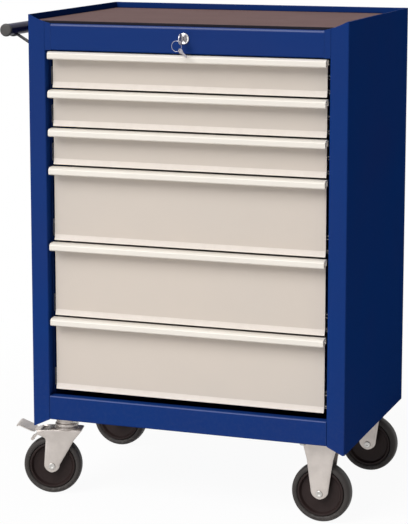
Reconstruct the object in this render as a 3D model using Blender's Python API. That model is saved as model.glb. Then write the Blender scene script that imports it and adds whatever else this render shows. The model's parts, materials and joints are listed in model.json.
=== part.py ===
# Roller cabinet with six drawers, a rubber topped tray, a push handle and four casters.
# Metres, +Z up. The front faces -Y, the push handle is on the -X side.
# Shapes are laid out from the middle of the cabinet's front plane at floor level,
# and everything is then moved so that the origin is under the middle of the whole object.

import math

import bmesh
import bpy
from mathutils import Matrix, Vector

# Cabinet
cabinet_width = 0.680
cabinet_depth = 0.476
rim_height = 1.022
rim_rise = 0.017
apron_height = 0.055
apron_flange = 0.016
apron_bend = 0.006
wheel_radius = 0.0625
side_skirt = 0.0178
rail_height = 0.0515
rail_flange = 0.020
rail_foot = 0.008
sheet = 0.0015
bend = 0.003
gap = 0.0003
play = 0.002
cut_margin = 0.004
least_edge = 0.0002

# Side panels
stile_width = 0.038
stile_return = 0.022
shoulder_width = 0.050
shoulder_curve_share = 0.5
back_return = 0.015
foot_flange = 0.010
hem_thickness = 0.0020
hem_height = 0.012

# Back, bottom and top panels
back_hem = 0.0035
back_foot = 0.014
bottom_edge_height = 0.005
mat_thickness = 0.0045
mat_front = 0.008
mat_margin = 0.006
mat_corner = 0.004

# Drawers
drawer_modules = (1, 1, 1, 2, 2, 2)
drawer_gap = 0.0035
first_gap = 0.0015
last_gap = 0.0095
front_side_gap = 0.0095
front_setback = 0.017
front_top_drop = 0.0025
front_top_flange = 0.013
front_lip_height = 0.012
front_lip_out = 0.0035
tray_back_gap = 0.036
tray_wall = 0.0012
tray_lift = 0.005
tray_top_drop = 0.0125

# Pulls
pull_side_gap = 0.0065
pull_height = 0.0165
pull_out = 0.006
pull_wall = 0.0018
pull_lip_height = 0.012
pull_crown_out = 0.0015
pull_crown_drop = 0.001
pull_hook = 0.003
pull_hook_height = 0.002
pull_leg = 0.013

# Telescopic slides, measured inwards from the inner wall
slide_lift = 0.024
slide_sheet = 0.0012
slide_depth = 0.0110
slide_height = 0.036
slide_inner_height = 0.024
slide_middle_inset = 0.0019
slide_inner_inset = 0.0038
tray_inset = 0.0123
slide_start = 0.020
slide_stagger = 0.006
liner_gap = 0.0017
liner_setback = 0.004
liner_back_gap = 0.014
liner_foot_gap = 0.003
liner_head_gap = 0.0035

# Lock, key and key ring
lock_height_share = 0.5636
bezel_radius = 0.0115
bezel_thickness = 0.003
bezel_chamfer = 0.0007
barrel_radius = 0.009
barrel_length = 0.026
bore_radius = 0.006
nut_radius = 0.013
nut_start = 0.002
nut_thickness = 0.004
plug_radius = 0.0057
plug_proud = 0.0002
cam_reach = 0.026
cam_width = 0.014
cam_thickness = 0.002
keyway_width = 0.0026
keyway_height = 0.0088
keyway_depth = 0.016
key_reach = 0.030
key_thickness = 0.002
blade_height = 0.008
blade_end = 0.010
bow_length = 0.021
bow_height = 0.022
bow_hole_radius = 0.0030
bow_hole_forward = 0.0235
bow_hole_drop = 0.0050
ring_radius = 0.0105
ring_wire_radius = 0.0008

# Push handle
handle_standoff = 0.070
handle_drop = 0.037
handle_radius = 0.0125
handle_wall = 0.0017
handle_end_inset = 0.046
cap_radius = 0.0135
cap_thickness = 0.006
cap_dome = 0.002
cap_plug_length = 0.012
bracket_inset = 0.036
bracket_width = 0.012
bracket_thickness = 0.003
saddle_wall = 0.0026
saddle_clear = 0.0004
bracket_drop = 0.043
bracket_flange = 0.034
bracket_bend = 0.006

# Casters
wheel_width = 0.032
wheel_bore_clear = 0.0003
hub_width = 0.034
hub_radius = 0.017
web_width = 0.010
rim_drop = 0.018
tyre_side_drop = 0.009
tyre_shoulder = 0.006
tread_crown = 0.001
axle_radius = 0.005
axle_head_radius = 0.007
axle_head = 0.003
leg_clear = 0.0007
leg_thickness = 0.004
leg_hole_clear = 0.0004
caster_front_inset = 0.052
caster_rear_inset = 0.046
swivel_side_inset = 0.054
rigid_side_inset = 0.060
caster_trail = 0.030
plate_length = 0.084
plate_width = 0.076
plate_thickness = 0.004
plate_corner = 0.008
cup_radius = 0.025
cup_chamfer = 0.004
race_radius = 0.024
race_height = 0.003
king_radius = 0.007
king_length = 0.006
crown_drop = 0.0298
wheel_headroom = 0.019
crown_thickness = 0.004
crown_front = 0.034
crown_back = 0.040
fork_edge_front = 0.034
fork_knee_front = 0.0175
fork_knee_drop = 0.0245
fork_edge_back = 0.0425
fork_foot_radius = 0.0165
fork_foot_rise = 0.003
ear_reach = 0.062
ear_height = 0.013
ear_root_drop = 0.021
rigid_top_half = 0.0373
rigid_neck_half = 0.0275
rigid_neck_drop = 0.0358
rigid_foot_radius = 0.0185
rigid_foot_rise = 0.007

# Brake pedals, measured from the swivel axis and down from the crown
pedal_pivot_back = 0.055
pedal_pivot_drop = 0.0065
pedal_barrel_radius = 0.0042
pedal_pin_radius = 0.0024
pedal_pin_sink = 0.001
shoe_radius = 0.0035
shoe_half = 0.013
shoe_clear = 0.0048
shoe_web = 0.004
tread_sheet = 0.0025
tread_root = 0.066
tread_root_fall = 0.001
tread_tip = 0.100
tread_rise = 0.014
tread_lip = 0.0045
tread_half = 0.025
tread_arm_half = 0.013

# Counts and shares
bend_steps = 3
shoulder_steps = 4
round_count = 20
wheel_count = 28
tube_count = 24
ring_steps = 8
ring_count = 24
facet_share = 0.5
front_fork_angle = math.radians(14)
ring_angle = math.radians(40)
shoe_angle = math.radians(36.87)

# Levels that follow
caster_height = 2 * wheel_radius + wheel_headroom + crown_drop
side_bottom_height = caster_height - side_skirt
rail_bottom_height = caster_height - sheet - gap
rail_top_height = rail_bottom_height + rail_height
apron_top = rim_height - rim_rise
apron_bottom = apron_top - apron_height
lock_height = apron_bottom + apron_height * lock_height_share
ring_reach = ring_radius * math.sin(ring_angle) + key_thickness / 2
ring_rise = math.sqrt(ring_radius ** 2 - ring_reach ** 2)
ring_lift = ring_radius * (math.cos(ring_angle) + ring_wire_radius / ring_rise) - ring_rise
ring_pivot_height = lock_height - bow_hole_drop - bow_hole_radius + gap + ring_lift
handle_height = rim_height - handle_drop
liner_bottom = rail_bottom_height + 2 * sheet + liner_foot_gap + play
liner_top = apron_top - sheet - liner_head_gap
drawer_module = (apron_bottom - first_gap - rail_top_height - last_gap) / sum(drawer_modules)
pull_tops = [
    apron_bottom - first_gap - drawer_module * sum(drawer_modules[:row])
    for row in range(len(drawer_modules))
]
front_bottoms = [
    top - drawer_module * modules + drawer_gap
    for top, modules in zip(pull_tops, drawer_modules)
]

# Places across the cabinet
half_width = cabinet_width / 2
opening_half = half_width - stile_width
front_half = opening_half - front_side_gap
pull_half = opening_half - pull_side_gap
liner_face = opening_half - liner_gap
slide_edge = liner_face - slide_depth
slide_middle_web = liner_face - slide_middle_inset
slide_inner_edge = liner_face - slide_inner_inset
tray_half = liner_face - tray_inset
slide_middle_edge = tray_half + slide_sheet + gap
handle_x = -half_width - handle_standoff
saddle_bore = handle_radius + saddle_clear
saddle_radius = saddle_bore + saddle_wall
swivel_side = half_width - swivel_side_inset
rigid_side = half_width - rigid_side_inset
left_reach = half_width + handle_standoff + saddle_radius

# Places along the cabinet
liner_front = stile_return + liner_setback
liner_back = cabinet_depth - liner_back_gap
tray_front = front_setback + sheet - gap
tray_back = cabinet_depth - tray_back_gap
slide_length = tray_back - slide_start - 2 * slide_stagger
handle_front = handle_end_inset
handle_back = cabinet_depth - handle_end_inset
caster_depths = {"front": caster_front_inset, "rear": cabinet_depth - caster_rear_inset}
fork_angles = {"front": front_fork_angle, "rear": 0}

# Casters; the wheels stand on a facet of the tread
axle_height = wheel_radius * math.cos(math.pi / wheel_count)
right_reach = max(half_width, rigid_side + axle_height)
leg_inner = wheel_width / 2 + tread_crown + leg_clear
leg_outer = leg_inner + leg_thickness
leg_hole = axle_radius + leg_hole_clear
plate_bottom = caster_height - gap - plate_thickness
crown_top = caster_height - crown_drop
race_top = crown_top + race_height
cup_bottom = race_top + gap
king_top = race_top + king_length
pedal_pivot_height = crown_top - pedal_pivot_drop
pedal_barrel_half = leg_inner - gap - gap
pedal_pin_half = leg_outer - pedal_pin_sink

# From the layout point to the origin under the middle of the object
shift = Vector(((left_reach - right_reach) / 2, (key_reach - cabinet_depth) / 2, 0))


def make_material(name, colour, roughness, metallic):
    material = bpy.data.materials.new(name)
    material.use_nodes = True
    shader = material.node_tree.nodes["Principled BSDF"]
    shader.inputs["Base Color"].default_value = (*colour, 1)
    shader.inputs["Roughness"].default_value = roughness
    shader.inputs["Metallic"].default_value = metallic
    return material


# Sheet metal and turned forms

def rounded(path, radii):
    # The path with each inner corner drawn as an arc of its own radius
    points = [Vector(path[0])]
    for before, corner, after, radius in zip(path, path[1:], path[2:], radii):
        corner = Vector(corner)
        if radius == 0:
            points.append(corner)
            continue
        back = (Vector(before) - corner).normalized()
        ahead = (Vector(after) - corner).normalized()
        turn = back.angle(-ahead)
        reach = radius * math.tan(turn / 2)
        centre = corner + (back + ahead).normalized() * (radius / math.cos(turn / 2))
        first = corner + back * reach - centre
        last = corner + ahead * reach - centre
        for step in range(bend_steps + 1):
            share = step / bend_steps
            weight_first = math.sin((1 - share) * turn) / math.sin(turn)
            weight_last = math.sin(share * turn) / math.sin(turn)
            points.append(centre + first * weight_first + last * weight_last)
    points.append(Vector(path[-1]))
    steps = zip(points, points[1:])
    return points[:1] + [after for before, after in steps if (after - before).length > least_edge]


def folded(path, thickness, radii=None):
    # Outline of a sheet folded along a path; a positive thickness lies on the path's left
    if radii is None:
        radii = [bend] * (len(path) - 2)
    points = rounded(path, radii)
    steps = [(after - before).normalized() for before, after in zip(points, points[1:])]
    inner = []
    for index, point in enumerate(points):
        arriving = steps[max(index - 1, 0)]
        leaving = steps[min(index, len(steps) - 1)]
        normal = Vector((-leaving.y, leaving.x))
        mitre = (normal + Vector((-arriving.y, arriving.x))).normalized()
        inner.append(point + mitre * (thickness / mitre.dot(normal)))
    return points + inner[::-1]


def on_axis(axis, first, second, along):
    # A point of an outline, lifted to its place along the axis it is drawn across
    if axis == "X":
        return Vector((along, first, second))
    if axis == "Y":
        return Vector((first, along, second))
    return Vector((first, second, along))


def prism(outline, axis, start, end):
    shape = bmesh.new()
    ring = [shape.verts.new(on_axis(axis, *point, start)) for point in outline]
    cap = shape.faces.new(ring)
    grown = bmesh.ops.extrude_face_region(shape, geom=[cap])["geom"]
    moved = [item for item in grown if isinstance(item, bmesh.types.BMVert)]
    bmesh.ops.translate(shape, verts=moved, vec=on_axis(axis, 0, 0, end - start))
    bmesh.ops.recalc_face_normals(shape, faces=shape.faces)
    return shape


def rectangle(left, right, low, high):
    return [(left, low), (right, low), (right, high), (left, high)]


def block(left, right, front, back, bottom, top):
    return prism(rectangle(left, right, front, back), "Z", bottom, top)


def rounded_rectangle(left, right, low, high, radius):
    middle = (left + right) / 2
    path = [(middle, low), (right, low), (right, high), (left, high), (left, low), (middle, low)]
    return rounded(path, [radius] * 4)[:-1]


def arc(centre, radius, start, end, steps):
    points = []
    for step in range(steps + 1):
        angle = start + (end - start) * step / steps
        points.append((centre[0] + radius * math.cos(angle), centre[1] + radius * math.sin(angle)))
    return points


def turned(profile, axis, centre, count, turn_share=0):
    # A profile of radius and place along the axis, turned about the axis through the centre.
    # A profile that starts and ends at radius 0 is open; any other closes on itself.
    # The turn share starts the facets part of a facet further round.
    shape = bmesh.new()
    rings = []
    for radius, along in profile:
        ring = []
        for step in range(count if radius > 0 else 1):
            angle = 2 * math.pi * (step + turn_share) / count
            first = centre[0] + radius * math.cos(angle)
            second = centre[1] + radius * math.sin(angle)
            ring.append(shape.verts.new(on_axis(axis, first, second, along)))
        rings.append(ring)
    pairs = list(zip(rings, rings[1:]))
    if profile[0][0] > 0:
        pairs.append((rings[-1], rings[0]))
    for lower, upper in pairs:
        for step in range(count):
            following = (step + 1) % count
            corners = [lower[step % len(lower)], lower[following % len(lower)]]
            corners += [upper[following % len(upper)], upper[step % len(upper)]]
            shape.faces.new(list(dict.fromkeys(corners)))
    bmesh.ops.recalc_face_normals(shape, faces=shape.faces)
    return shape


def rod(radius, axis, centre, start, end, count=round_count):
    return turned([(0, start), (radius, start), (radius, end), (0, end)], axis, centre, count)


def open_box(left, right, front, back, bottom, top, wall):
    # A tray with an open top, its floor and walls of one thickness
    shape = block(left, right, front, back, bottom, top)
    lid = max(shape.faces, key=lambda face: face.calc_center_median().z)
    bmesh.ops.inset_region(shape, faces=[lid], thickness=wall, use_even_offset=True)
    bmesh.ops.translate(shape, verts=lid.verts, vec=(0, 0, bottom + wall - top))
    return shape


def mirrored(shape):
    copy = shape.copy()
    bmesh.ops.scale(copy, verts=copy.verts, vec=(-1, 1, 1))
    bmesh.ops.reverse_faces(copy, faces=copy.faces)
    return copy


def moved(shape, offset):
    copy = shape.copy()
    bmesh.ops.translate(copy, verts=copy.verts, vec=offset)
    return copy


def swivelled(shape, pivot, turn):
    copy = shape.copy()
    bmesh.ops.rotate(copy, verts=copy.verts, cent=pivot, matrix=turn)
    return copy


def temporary(shape):
    mesh = bpy.data.meshes.new("temporary")
    shape.to_mesh(mesh)
    item = bpy.data.objects.new("temporary", mesh)
    bpy.context.scene.collection.objects.link(item)
    return item


def fused(shapes, cuts=()):
    # One closed body: the shapes joined, less the cuts
    items = [temporary(shape) for shape in [*shapes, *cuts]]
    base = items[0]
    for index, item in enumerate(items[1:], 1):
        modifier = base.modifiers.new("join", "BOOLEAN")
        modifier.operation = "UNION" if index < len(shapes) else "DIFFERENCE"
        modifier.object = item
    bpy.context.view_layer.update()
    graph = bpy.context.evaluated_depsgraph_get()
    mesh = bpy.data.meshes.new_from_object(base.evaluated_get(graph))
    result = bmesh.new()
    result.from_mesh(mesh)
    for item in items:
        bpy.data.objects.remove(item)
    return result


# Bodies and their pieces

def make_body(name, origin=(0, 0, 0)):
    # An empty on the body's joint axis, which its pieces hang from
    body = bpy.data.objects.new(name + "_body", None)
    body.location = Vector(origin) + shift
    bpy.context.scene.collection.objects.link(body)
    return body


def add_piece(name, shape, material, body):
    local = moved(shape, shift - body.location)
    mesh = bpy.data.meshes.new(name)
    local.to_mesh(mesh)
    mesh.shade_smooth()
    mesh.set_sharp_from_angle(angle=math.radians(30))
    mesh.materials.append(material)
    piece = bpy.data.objects.new(name, mesh)
    piece.parent = body
    bpy.context.scene.collection.objects.link(piece)
    return piece


# Cabinet shell

def side_panel():
    # The right panel: a skin with a stile folded in front, a shoulder beside the apron,
    # a folded back edge, a hem round the rim and a narrow foot flange
    skin = folded(
        [
            (opening_half, stile_return),
            (opening_half, 0),
            (half_width, 0),
            (half_width, cabinet_depth),
            (half_width - back_return, cabinet_depth),
        ],
        sheet,
    )
    column = prism(skin, "Z", side_bottom_height, rim_height)
    inside = half_width - sheet
    shoulder_inner = half_width - shoulder_width
    shoulder = block(shoulder_inner, opening_half + sheet / 2, 0, sheet, apron_bottom, rim_height)
    hem = block(
        inside - hem_thickness, inside + sheet / 2, bend, cabinet_depth - sheet / 2,
        rim_height - hem_height, rim_height,
    )
    foot = block(
        half_width - foot_flange, inside + sheet / 2, bend, cabinet_depth - bend,
        side_bottom_height, side_bottom_height + sheet,
    )
    slant_outer = inside - hem_thickness - gap
    top_slant = [
        (shoulder_inner - cut_margin, apron_top),
        (shoulder_inner - cut_margin, rim_height + cut_margin),
        (slant_outer, rim_height + cut_margin),
    ]
    for step in range(shoulder_steps + 1):
        share = step / shoulder_steps
        dip = shoulder_curve_share * share * (1 - share)
        along = slant_outer + (shoulder_inner - slant_outer) * share
        top_slant.append((along, rim_height - rim_rise * (share + dip)))
    foot_slant = [
        (inside - bend, side_bottom_height - cut_margin),
        (inside - bend, side_bottom_height),
        (opening_half, rail_bottom_height),
        (opening_half - cut_margin, rail_bottom_height),
        (opening_half - cut_margin, side_bottom_height - cut_margin),
    ]
    cuts = [
        prism(top_slant, "Y", -cut_margin, stile_return + cut_margin),
        prism(foot_slant, "Y", -cut_margin, stile_return + cut_margin),
    ]
    return_ends = [
        (apron_bottom, rim_height + cut_margin),
        (rail_bottom_height - cut_margin, caster_height + sheet + gap),
    ]
    for low, high in return_ends:
        cuts.append(block(
            opening_half - 2 * cut_margin, opening_half + 2 * sheet,
            2 * sheet, stile_return + 2 * cut_margin, low, high,
        ))
    return fused([column, shoulder, hem, foot], cuts)


def back_panel():
    # A sheet between the side panels, its top edge turned over as the rear rim
    outer = cabinet_depth - sheet - gap
    floor = rail_bottom_height + 2 * sheet + play
    outline = folded(
        [
            (outer - back_foot, floor),
            (outer, floor),
            (outer, rim_height),
            (outer - back_hem, rim_height),
            (outer - back_hem, rim_height - hem_height),
        ],
        sheet,
        [bend, back_hem / 2, back_hem / 2],
    )
    half = half_width - sheet - hem_thickness - gap
    return prism(outline, "X", -half, half)


def bottom_panel():
    # The floor lies on the rail's foot, is turned up at each side and carries the casters
    edge = half_width - sheet - gap
    outline = folded(
        [
            (-edge, caster_height + bottom_edge_height),
            (-edge, caster_height),
            (edge, caster_height),
            (edge, caster_height + bottom_edge_height),
        ],
        sheet,
    )
    back = cabinet_depth - 2 * sheet - 2 * gap
    return prism(outline, "Y", bend + gap, back)


def front_bottom_rail():
    outline = folded(
        [
            (rail_flange, rail_top_height),
            (0, rail_top_height),
            (0, rail_bottom_height),
            (rail_foot, rail_bottom_height),
        ],
        sheet,
    )
    half = opening_half - gap
    return prism(outline, "X", -half, half)


def top_panel():
    # The tray floor rolls over the front edge into an apron, which carries the lock
    back = cabinet_depth - sheet - gap - back_hem - gap
    outline = folded(
        [(back, apron_top), (0, apron_top), (0, apron_bottom), (apron_flange, apron_bottom)],
        sheet,
        [apron_bend, bend],
    )
    edge = half_width - sheet - gap
    sheet_form = prism(outline, "X", -edge, edge)
    shoulder_inner = half_width - shoulder_width - gap
    behind_stile = bend + gap
    under = apron_top - sheet - gap
    notch = [
        (-cut_margin, apron_bottom - cut_margin),
        (apron_flange + cut_margin, apron_bottom - cut_margin),
        (apron_flange + cut_margin, under),
        (behind_stile, under),
        (behind_stile, apron_top + cut_margin),
        (-cut_margin, apron_top + cut_margin),
    ]
    corner = prism(notch, "X", shoulder_inner, edge + cut_margin)
    lock_hole = rod(barrel_radius + gap, "Y", (0, lock_height), -cut_margin, cut_margin)
    return fused([sheet_form], [corner, mirrored(corner), lock_hole])


def top_mat():
    half = half_width - mat_margin
    back = cabinet_depth - sheet - back_hem - mat_margin
    outline = rounded_rectangle(-half, half, mat_front, back, mat_corner)
    return prism(outline, "Z", apron_top + gap, apron_top + mat_thickness)


def slide_channel(edge, web, height, thickness, middle, start, end):
    # A slide member: a channel on its side between two half heights about its middle
    low = middle - height / 2
    high = middle + height / 2
    outline = folded([(edge, low), (web, low), (web, high), (edge, high)], thickness, [0, 0])
    return prism(outline, "Y", start, end)


def slide_frame():
    # The right inner wall, flanged to the side panel, with the fixed member of every slide
    panel_face = half_width - sheet - gap
    wall = folded(
        [
            (panel_face, liner_front),
            (liner_face, liner_front),
            (liner_face, liner_back),
            (panel_face, liner_back),
        ],
        -sheet,
    )
    shapes = [prism(wall, "Z", liner_bottom, liner_top)]
    for front_bottom in front_bottoms:
        shapes.append(
            slide_channel(
                slide_edge, liner_face + gap, slide_height, slide_sheet,
                front_bottom + slide_lift, liner_front + gap, liner_front + slide_length + slide_stagger,
            )
        )
    return fused(shapes)


# Drawers

def drawer_tray(pull_top, front_bottom):
    # A folded front with a flared lower lip, a tray behind it and a slide member on each side
    front_top = pull_top - front_top_drop
    front = folded(
        [
            (front_setback - front_lip_out, front_bottom),
            (front_setback, front_bottom + front_lip_height),
            (front_setback, front_top),
            (front_setback + front_top_flange, front_top),
        ],
        -sheet,
        [0, bend],
    )
    front_form = prism(front, "X", -front_half, front_half)
    tray = open_box(
        -tray_half, tray_half, tray_front, tray_back,
        front_bottom + tray_lift, pull_top - tray_top_drop, tray_wall,
    )
    member = slide_channel(
        slide_inner_edge, tray_half - gap, slide_inner_height, -slide_sheet,
        front_bottom + slide_lift, slide_start, slide_start + slide_length,
    )
    return fused([tray, front_form, member, mirrored(member)])


def drawer_pull(pull_top):
    # A rolled channel over the front's top edge, open below for the fingers
    back = front_setback - gap
    outline = folded(
        [
            (pull_hook - pull_out, pull_top - pull_height),
            (-pull_out, pull_top - pull_height + pull_hook_height),
            (-pull_out, pull_top - pull_height + pull_lip_height),
            (-pull_crown_out, pull_top - pull_crown_drop),
            (back, pull_top),
            (back, pull_top - pull_leg),
        ],
        -pull_wall,
        [0, bend, bend, bend],
    )
    return prism(outline, "X", -pull_half, pull_half)


# Lock

def lock_barrel():
    nut_end = nut_start + nut_thickness
    profile = [
        (bore_radius, -bezel_thickness),
        (bezel_radius - bezel_chamfer, -bezel_thickness),
        (bezel_radius, bezel_chamfer - bezel_thickness),
        (bezel_radius, -gap),
        (barrel_radius, -gap),
        (barrel_radius, nut_start),
        (nut_radius, nut_start),
        (nut_radius, nut_end),
        (barrel_radius, nut_end),
        (barrel_radius, barrel_length),
        (bore_radius, barrel_length),
    ]
    return turned(profile, "Y", (0, lock_height), round_count)


def lock_plug():
    # The turning plug with its keyway, and the cam on its inner end
    cam_start = barrel_length + gap
    cam_end = cam_start + cam_thickness
    body = rod(
        plug_radius, "Y", (0, lock_height), -bezel_thickness - plug_proud, cam_start + cam_thickness / 2,
    )
    cam_centre = (0, lock_height - cam_reach + cam_width / 2)
    outline = arc(cam_centre, cam_width / 2, math.pi, 2 * math.pi, bend_steps * 2)
    outline += arc((0, lock_height), cam_width / 2, 0, math.pi, bend_steps * 2)
    cam = prism(outline, "Y", cam_start, cam_end)
    keyway = block(
        -keyway_width / 2, keyway_width / 2, -bezel_thickness - cut_margin, keyway_depth - bezel_thickness,
        lock_height - keyway_height / 2, lock_height + keyway_height / 2,
    )
    return fused([body, cam], [keyway])


def key():
    # A flat key: a round bow with a hole for the ring, and a blade in the keyway
    half = key_thickness / 2
    centre = (bow_length / 2 - key_reach, lock_height)
    outline = []
    for along, up in arc((0, 0), 1, 0, 2 * math.pi, round_count)[:-1]:
        outline.append((centre[0] + along * bow_length / 2, centre[1] + up * bow_height / 2))
    bow = prism(outline, "X", -half, half)
    blade_start = bow_length - key_reach - play
    blade = block(
        gap - half, half - gap, blade_start, blade_end,
        lock_height - blade_height / 2, lock_height + blade_height / 2,
    )
    hole_centre = (-bow_hole_forward, lock_height - bow_hole_drop)
    hole = rod(bow_hole_radius, "X", hole_centre, -cut_margin, cut_margin)
    return fused([bow, blade], [hole])


def key_ring():
    # A wire ring that lies to the left of the hole in the bow and rests on its lower edge
    left = ring_radius * math.sin(ring_angle)
    down = ring_radius * math.cos(ring_angle)
    centre = (-left, ring_pivot_height - down)
    wire = arc((ring_radius, -bow_hole_forward), ring_wire_radius, 0, 2 * math.pi, ring_steps)[:-1]
    return turned(wire, "Y", centre, ring_count)


# Push handle

def handle_tube():
    handle_bore = handle_radius - handle_wall
    profile = [
        (handle_bore, handle_front),
        (handle_radius, handle_front),
        (handle_radius, handle_back),
        (handle_bore, handle_back),
    ]
    return turned(profile, "Y", (handle_x, handle_height), tube_count)


def handle_cap(end, outward):
    # A plug in the tube's end under a low domed head
    cap_plug_radius = handle_radius - handle_wall - gap
    profile = [
        (0, end - outward * cap_plug_length),
        (cap_plug_radius, end - outward * cap_plug_length),
        (cap_plug_radius, end + outward * gap),
        (cap_radius, end + outward * gap),
        (cap_radius, end + outward * (cap_thickness - cap_dome)),
        (cap_radius - cap_dome, end + outward * cap_thickness),
        (0, end + outward * cap_thickness),
    ]
    return turned(profile, "Y", (handle_x, handle_height), tube_count)


def handle_bracket(middle):
    # A saddle under the tube on a strut that drops to a flange on the side panel
    start = middle - bracket_width / 2
    end = middle + bracket_width / 2
    ring = turned(
        [(saddle_bore, start), (saddle_radius, start), (saddle_radius, end), (saddle_bore, end)],
        "Y", (handle_x, handle_height), tube_count,
    )
    above = block(
        handle_x - saddle_radius - cut_margin, handle_x + saddle_radius + cut_margin,
        start - cut_margin, end + cut_margin,
        handle_height, handle_height + saddle_radius + cut_margin,
    )
    face = -half_width - gap
    elbow = handle_height - bracket_drop
    below_tube = handle_height - saddle_radius + bracket_thickness
    strut = folded(
        [(handle_x, below_tube), (handle_x + saddle_radius, below_tube - bracket_thickness), (face, elbow),
         (face, elbow - bracket_flange)],
        -bracket_thickness,
        [bracket_bend, bracket_bend],
    )
    axis = (handle_x, handle_height)
    clear = rod(saddle_bore, "Y", axis, start - cut_margin, end + cut_margin, tube_count)
    return fused([ring, prism(strut, "Y", start, end)], [clear, above])


# Casters

def caster_wheel(centre, middle):
    # Hub, recessed web and a tyre with round shoulders, turned about the axle
    wheel_bore = axle_radius + wheel_bore_clear
    half = wheel_width / 2
    hub = hub_width / 2
    web = web_width / 2
    profile_half = [
        (wheel_bore, hub),
        (hub_radius - tread_crown, hub),
        (hub_radius, hub - tread_crown),
        (hub_radius, web),
        (wheel_radius - rim_drop, web),
        (wheel_radius - rim_drop, half - tread_crown),
        (wheel_radius - tyre_side_drop, half),
        (wheel_radius - tyre_shoulder / 2, half - tyre_shoulder / 2),
        (wheel_radius - tread_crown, half - tyre_shoulder),
        (wheel_radius, 0),
    ]
    profile = [(radius, middle - along) for radius, along in profile_half]
    profile += [(radius, middle + along) for radius, along in reversed(profile_half[:-1])]
    return turned(profile, "Y", centre, wheel_count, facet_share)


def caster_axle(centre, middle):
    # A bolt through both legs with a head at each end
    inner = leg_outer + gap
    outer = inner + axle_head
    profile = [
        (0, middle - outer),
        (axle_head_radius, middle - outer),
        (axle_head_radius, middle - inner),
        (axle_radius, middle - inner),
        (axle_radius, middle + inner),
        (axle_head_radius, middle + inner),
        (axle_head_radius, middle + outer),
        (0, middle + outer),
    ]
    return turned(profile, "Y", centre, round_count)


def legs(outline, middle, cuts):
    # Two equal legs, one each side of the wheel
    near = prism(outline, "Y", middle - leg_outer, middle - leg_inner)
    far = prism(outline, "Y", middle + leg_inner, middle + leg_outer)
    return [near, far], [rod(radius, "Y", centre, middle - 2 * leg_outer, middle + 2 * leg_outer)
                         for centre, radius in cuts]


def caster_plate(side, middle, bottom):
    outline = rounded_rectangle(
        side - plate_length / 2, side + plate_length / 2,
        middle - plate_width / 2, middle + plate_width / 2, plate_corner,
    )
    return prism(outline, "Z", bottom, caster_height - gap)


def rigid_bracket(side, middle):
    foot_centre = (side, axle_height + rigid_foot_rise)
    foot = arc(foot_centre, rigid_foot_radius, math.pi, 2 * math.pi, 2 * bend_steps)
    neck = plate_bottom - rigid_neck_drop
    outline = foot + [
        (side + rigid_neck_half, neck),
        (side + rigid_top_half, plate_bottom + plate_thickness / 2),
        (side - rigid_top_half, plate_bottom + plate_thickness / 2),
        (side - rigid_neck_half, neck),
    ]
    forms, holes = legs(outline, middle, [((side, axle_height), leg_hole)])
    return fused([caster_plate(side, middle, plate_bottom), *forms], holes)


def swivel_plate(side, middle):
    # The bolted plate and the bearing cup that hangs from it
    king_bore = king_radius + gap
    cup_bore_top = king_top + play
    cup = turned(
        [
            (0, cup_bore_top),
            (king_bore, cup_bore_top),
            (king_bore, cup_bottom),
            (cup_radius - cup_chamfer, cup_bottom),
            (cup_radius, cup_bottom + cup_chamfer),
            (cup_radius, plate_bottom + gap),
            (0, plate_bottom + gap),
        ],
        "Z", (side, middle), round_count,
    )
    return fused([caster_plate(side, middle, plate_bottom), cup])


def swivel_fork(side, middle):
    # Crown, bearing race, king pin and two raked legs with ears for the brake pedal
    wheel_x = side - caster_trail
    foot_centre = (wheel_x, axle_height + fork_foot_rise)
    foot = arc(foot_centre, fork_foot_radius, math.pi, 2 * math.pi, 2 * bend_steps)
    outline = foot + [
        (side + fork_knee_front, crown_top - fork_knee_drop),
        (side + fork_edge_front, crown_top - crown_thickness),
        (side + fork_edge_front, crown_top),
        (side - ear_reach, crown_top),
        (side - ear_reach, crown_top - ear_height),
        (side - fork_edge_back, crown_top - ear_root_drop),
    ]
    pivot = (side - pedal_pivot_back, pedal_pivot_height)
    axle_hole = ((wheel_x, axle_height), leg_hole)
    pin_hole = (pivot, pedal_pin_radius + gap)
    forms, holes = legs(outline, middle, [axle_hole, pin_hole])
    crown_half = leg_outer - leg_thickness / 2
    crown = block(
        side - crown_back, side + crown_front, middle - crown_half, middle + crown_half,
        crown_top - crown_thickness - gap, crown_top - gap,
    )
    crown_middle = crown_top - crown_thickness / 2
    race = turned(
        [
            (0, crown_middle),
            (race_radius, crown_middle),
            (race_radius, race_top),
            (king_radius, race_top),
            (king_radius, king_top),
            (0, king_top),
        ],
        "Z", (side, middle), round_count,
    )
    return fused([crown, *forms, race], holes)


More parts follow.
